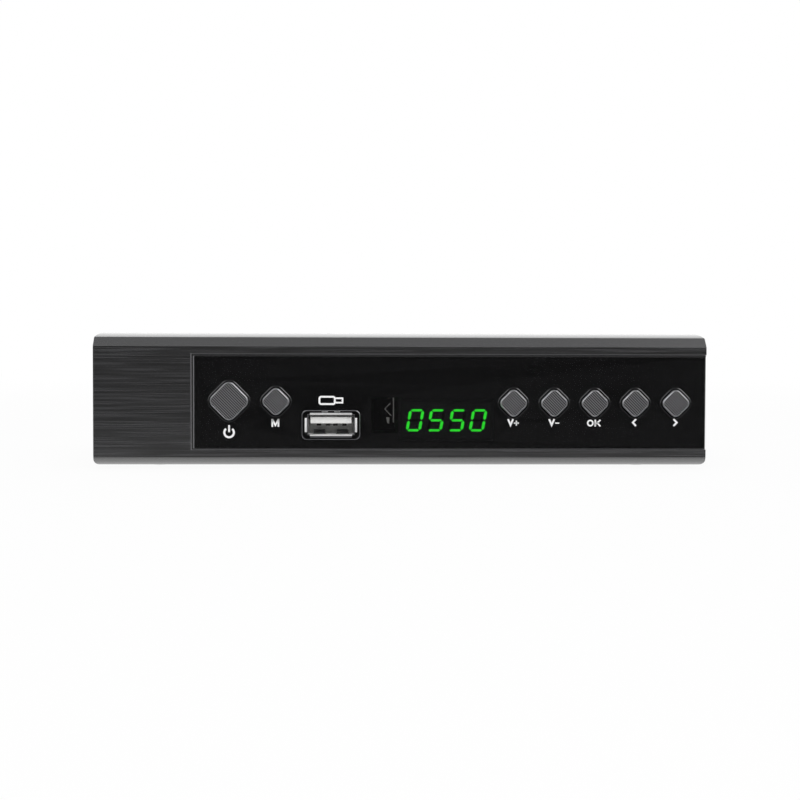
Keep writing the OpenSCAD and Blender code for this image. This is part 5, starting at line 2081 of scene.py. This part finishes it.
    def free_ground(self, name: str) -> Piece:
        """Squares of the board's top that nothing stands on.

        Args:
            name: The object's name.

        Returns:
            The squares as faces that look up.
        """
        board = block("main_board")
        cell, clear, margin = self.ground_cell, self.ground_clear, self.ground_edge
        start_y = block("board_link").high.y + clear
        taken = [solid for node in self.STANDING for solid in islands(node)]
        corners: list[Vector] = []
        for i in range(int((board.size.x - 2 * margin) / cell)):
            for j in range(int((board.high.y - margin - start_y) / cell)):
                x, y = board.low.x + margin + i * cell, start_y + j * cell
                if any(b.low.x - clear < x + cell and b.high.x + clear > x
                       and b.low.y - clear < y + cell and b.high.y + clear > y for b in taken):
                    continue
                square = ((x, y), (x + cell, y), (x + cell, y + cell), (x, y + cell))
                corners += [Vector((u, v, board.high.z)) * MM for u, v in square]
        data = bpy.data.meshes.new(name)
        data.from_pydata(corners, [], [range(i, i + 4) for i in range(0, len(corners), 4)])
        return linked(name, data)


@dataclass
class RearSockets:
    """The tuner can and every socket at the back."""

    shop: Workshop
    dimples: int = 6
    video_contacts: int = 10

    def build(self) -> None:
        """Makes the sockets."""
        self.tuner()
        self.aerial()
        self.loop()
        self.shop.refine("av_socket_housing", Kit.black, "black_plastic", 0.15)
        self.shop.refine("av_socket_shell", Kit.tinned, "tinned_steel", 0.06)
        self.shop.refine("av_socket_contacts", Kit.gold, "contact_metal", 0.05)
        self.video()
        self.shop.refine("network_jack", Kit.tinned, "tinned_steel", 0.2)
        self.shop.refine("network_jack_contacts", Kit.gold, "contact_metal", 0.04)
        self.shop.refine("audio_jack_body", Kit.orange, "black_plastic", 0.15)
        self.shop.refine("audio_jack_sleeve", Kit.nickel, "socket_nickel", 0.12)
        self.shop.refine("power_inlet", Kit.black, "black_plastic", 0.25)
        self.pin("power_inlet_pin", Kit.nickel)

    def pin(self, node: str, finish: Finish) -> None:
        """A socket's centre pin, with a domed tip."""
        box = block(node)
        r, tip = box.size.x / 2, box.high.y
        dome = [(r, tip - 0.8 * r), (r * 0.9, tip - 0.35 * r), (r * 0.6, tip - 0.08 * r), (r * 0.3, tip)]
        profile = [(r, box.low.y), *dome]
        made = Form().lathe(profile, (box.mid.x, box.mid.z), Axis.Y, 28).piece(f"{node}_skin")
        self.shop.hand_over(shaded(made, 50), finish, "contact_metal", node)

    def disc(self, name: str, socket: str, radii: Pair, low: float, high: float) -> None:
        """An insulating disc in a round socket.

        Args:
            name: The disc's name.
            socket: The node in whose middle it sits.
            radii: Its inner and outer radius.
            low: Where it starts along Y.
            high: Where it ends.
        """
        inner, outer = radii
        mid = block(socket).mid
        profile = [
            (inner, low), (outer, low), (outer, high - 0.2), (outer - 0.2, high), (inner + 0.2, high),
            (inner, high - 0.2),
        ]
        made = Form().lathe(profile, (mid.x, mid.z), Axis.Y, 40, looped=True).piece(name)
        self.shop.hand_over(shaded(made, 50), Kit.ivory, "port_insulator")

    def tuner(self) -> None:
        """The tuner can with dimples along its lid's edges."""
        self.shop.refine("tuner_can", Kit.tinned, "tinned_steel", 0.25)
        box = block("tuner_can")
        dimple = Form().lathe([(0.75, -0.05), (0.7, 0.06), (0.45, 0.16), (0.2, 0.19)], sides=16)
        spots: list[Spot] = []
        for i in range(self.dimples):
            x = box.low.x + box.size.x * (i + 0.5) / self.dimples
            spots += [((x, y, box.high.z), (0, 0, 1)) for y in (box.low.y + 2.2, box.high.y - 2.2)]
        model = shaded(dimple.piece("dimple_model"), 50)
        self.shop.copies("tuner_lid_dimples", model, spots, self.shop.upright, Kit.tinned, "tinned_steel")

    def aerial(self) -> None:
        """The aerial socket, its insulator and its contact."""
        self.shop.refine("aerial_in_socket", Kit.nickel, "socket_nickel", 0.2)
        self.shop.refine("aerial_in_contact", Kit.gold, "contact_metal", 0.15)
        tip = block("aerial_in_socket").high.y
        self.disc("aerial_in_insulator", "aerial_in_socket", (2.0, 4.7), tip - 7.9, tip - 5.3)

    def loop(self) -> None:
        """The loop-out plug, its insulator and its pin."""
        self.shop.refine("loop_out_socket", Kit.nickel, "socket_nickel", 0.2)
        self.pin("loop_out_pin", Kit.gold)
        root = block("loop_out_pin").low.y
        self.disc("loop_out_insulator", "loop_out_socket", (1.2, 4.0), root + 0.05, root + 1.6)

    def video(self) -> None:
        """The digital video socket: shell, tongue and a row of contacts on it."""
        self.shop.refine("video_socket_shell", Kit.nickel, "socket_nickel", 0.06)
        self.shop.refine("video_socket_tongue", Kit.black, "black_plastic", 0.1)
        box = block("video_socket_tongue")
        strip = Form().box((-0.15, 0, -0.06), (0.15, 6.5, 0.06))
        y, z, count = box.high.y - 7.3, box.low.z + 1.55, self.video_contacts
        spots: list[Spot] = [((box.mid.x + i - (count - 1) / 2, y, z), (1, 0, 0)) for i in range(count)]
        self.shop.copies(
            "video_socket_contacts", strip.piece("strip_model"), spots, self.shop.sideways,
            Kit.gold, "contact_metal",
        )


def main() -> None:
    """Builds the studio and then each sub-assembly."""
    logging.basicConfig(level=logging.INFO, format="%(name)s: %(message)s")
    bpy.context.scene.view_settings.view_transform = "Standard"
    Studio().build()
    shop = Workshop()
    for part in (Front, Keypad, Display, RemoteEye, FrontPort, Casing, Boards, RearSockets):
        part(shop).build()
    LOG.info("%d pieces in all", shop.count)


if __name__ == "__main__":
    main()
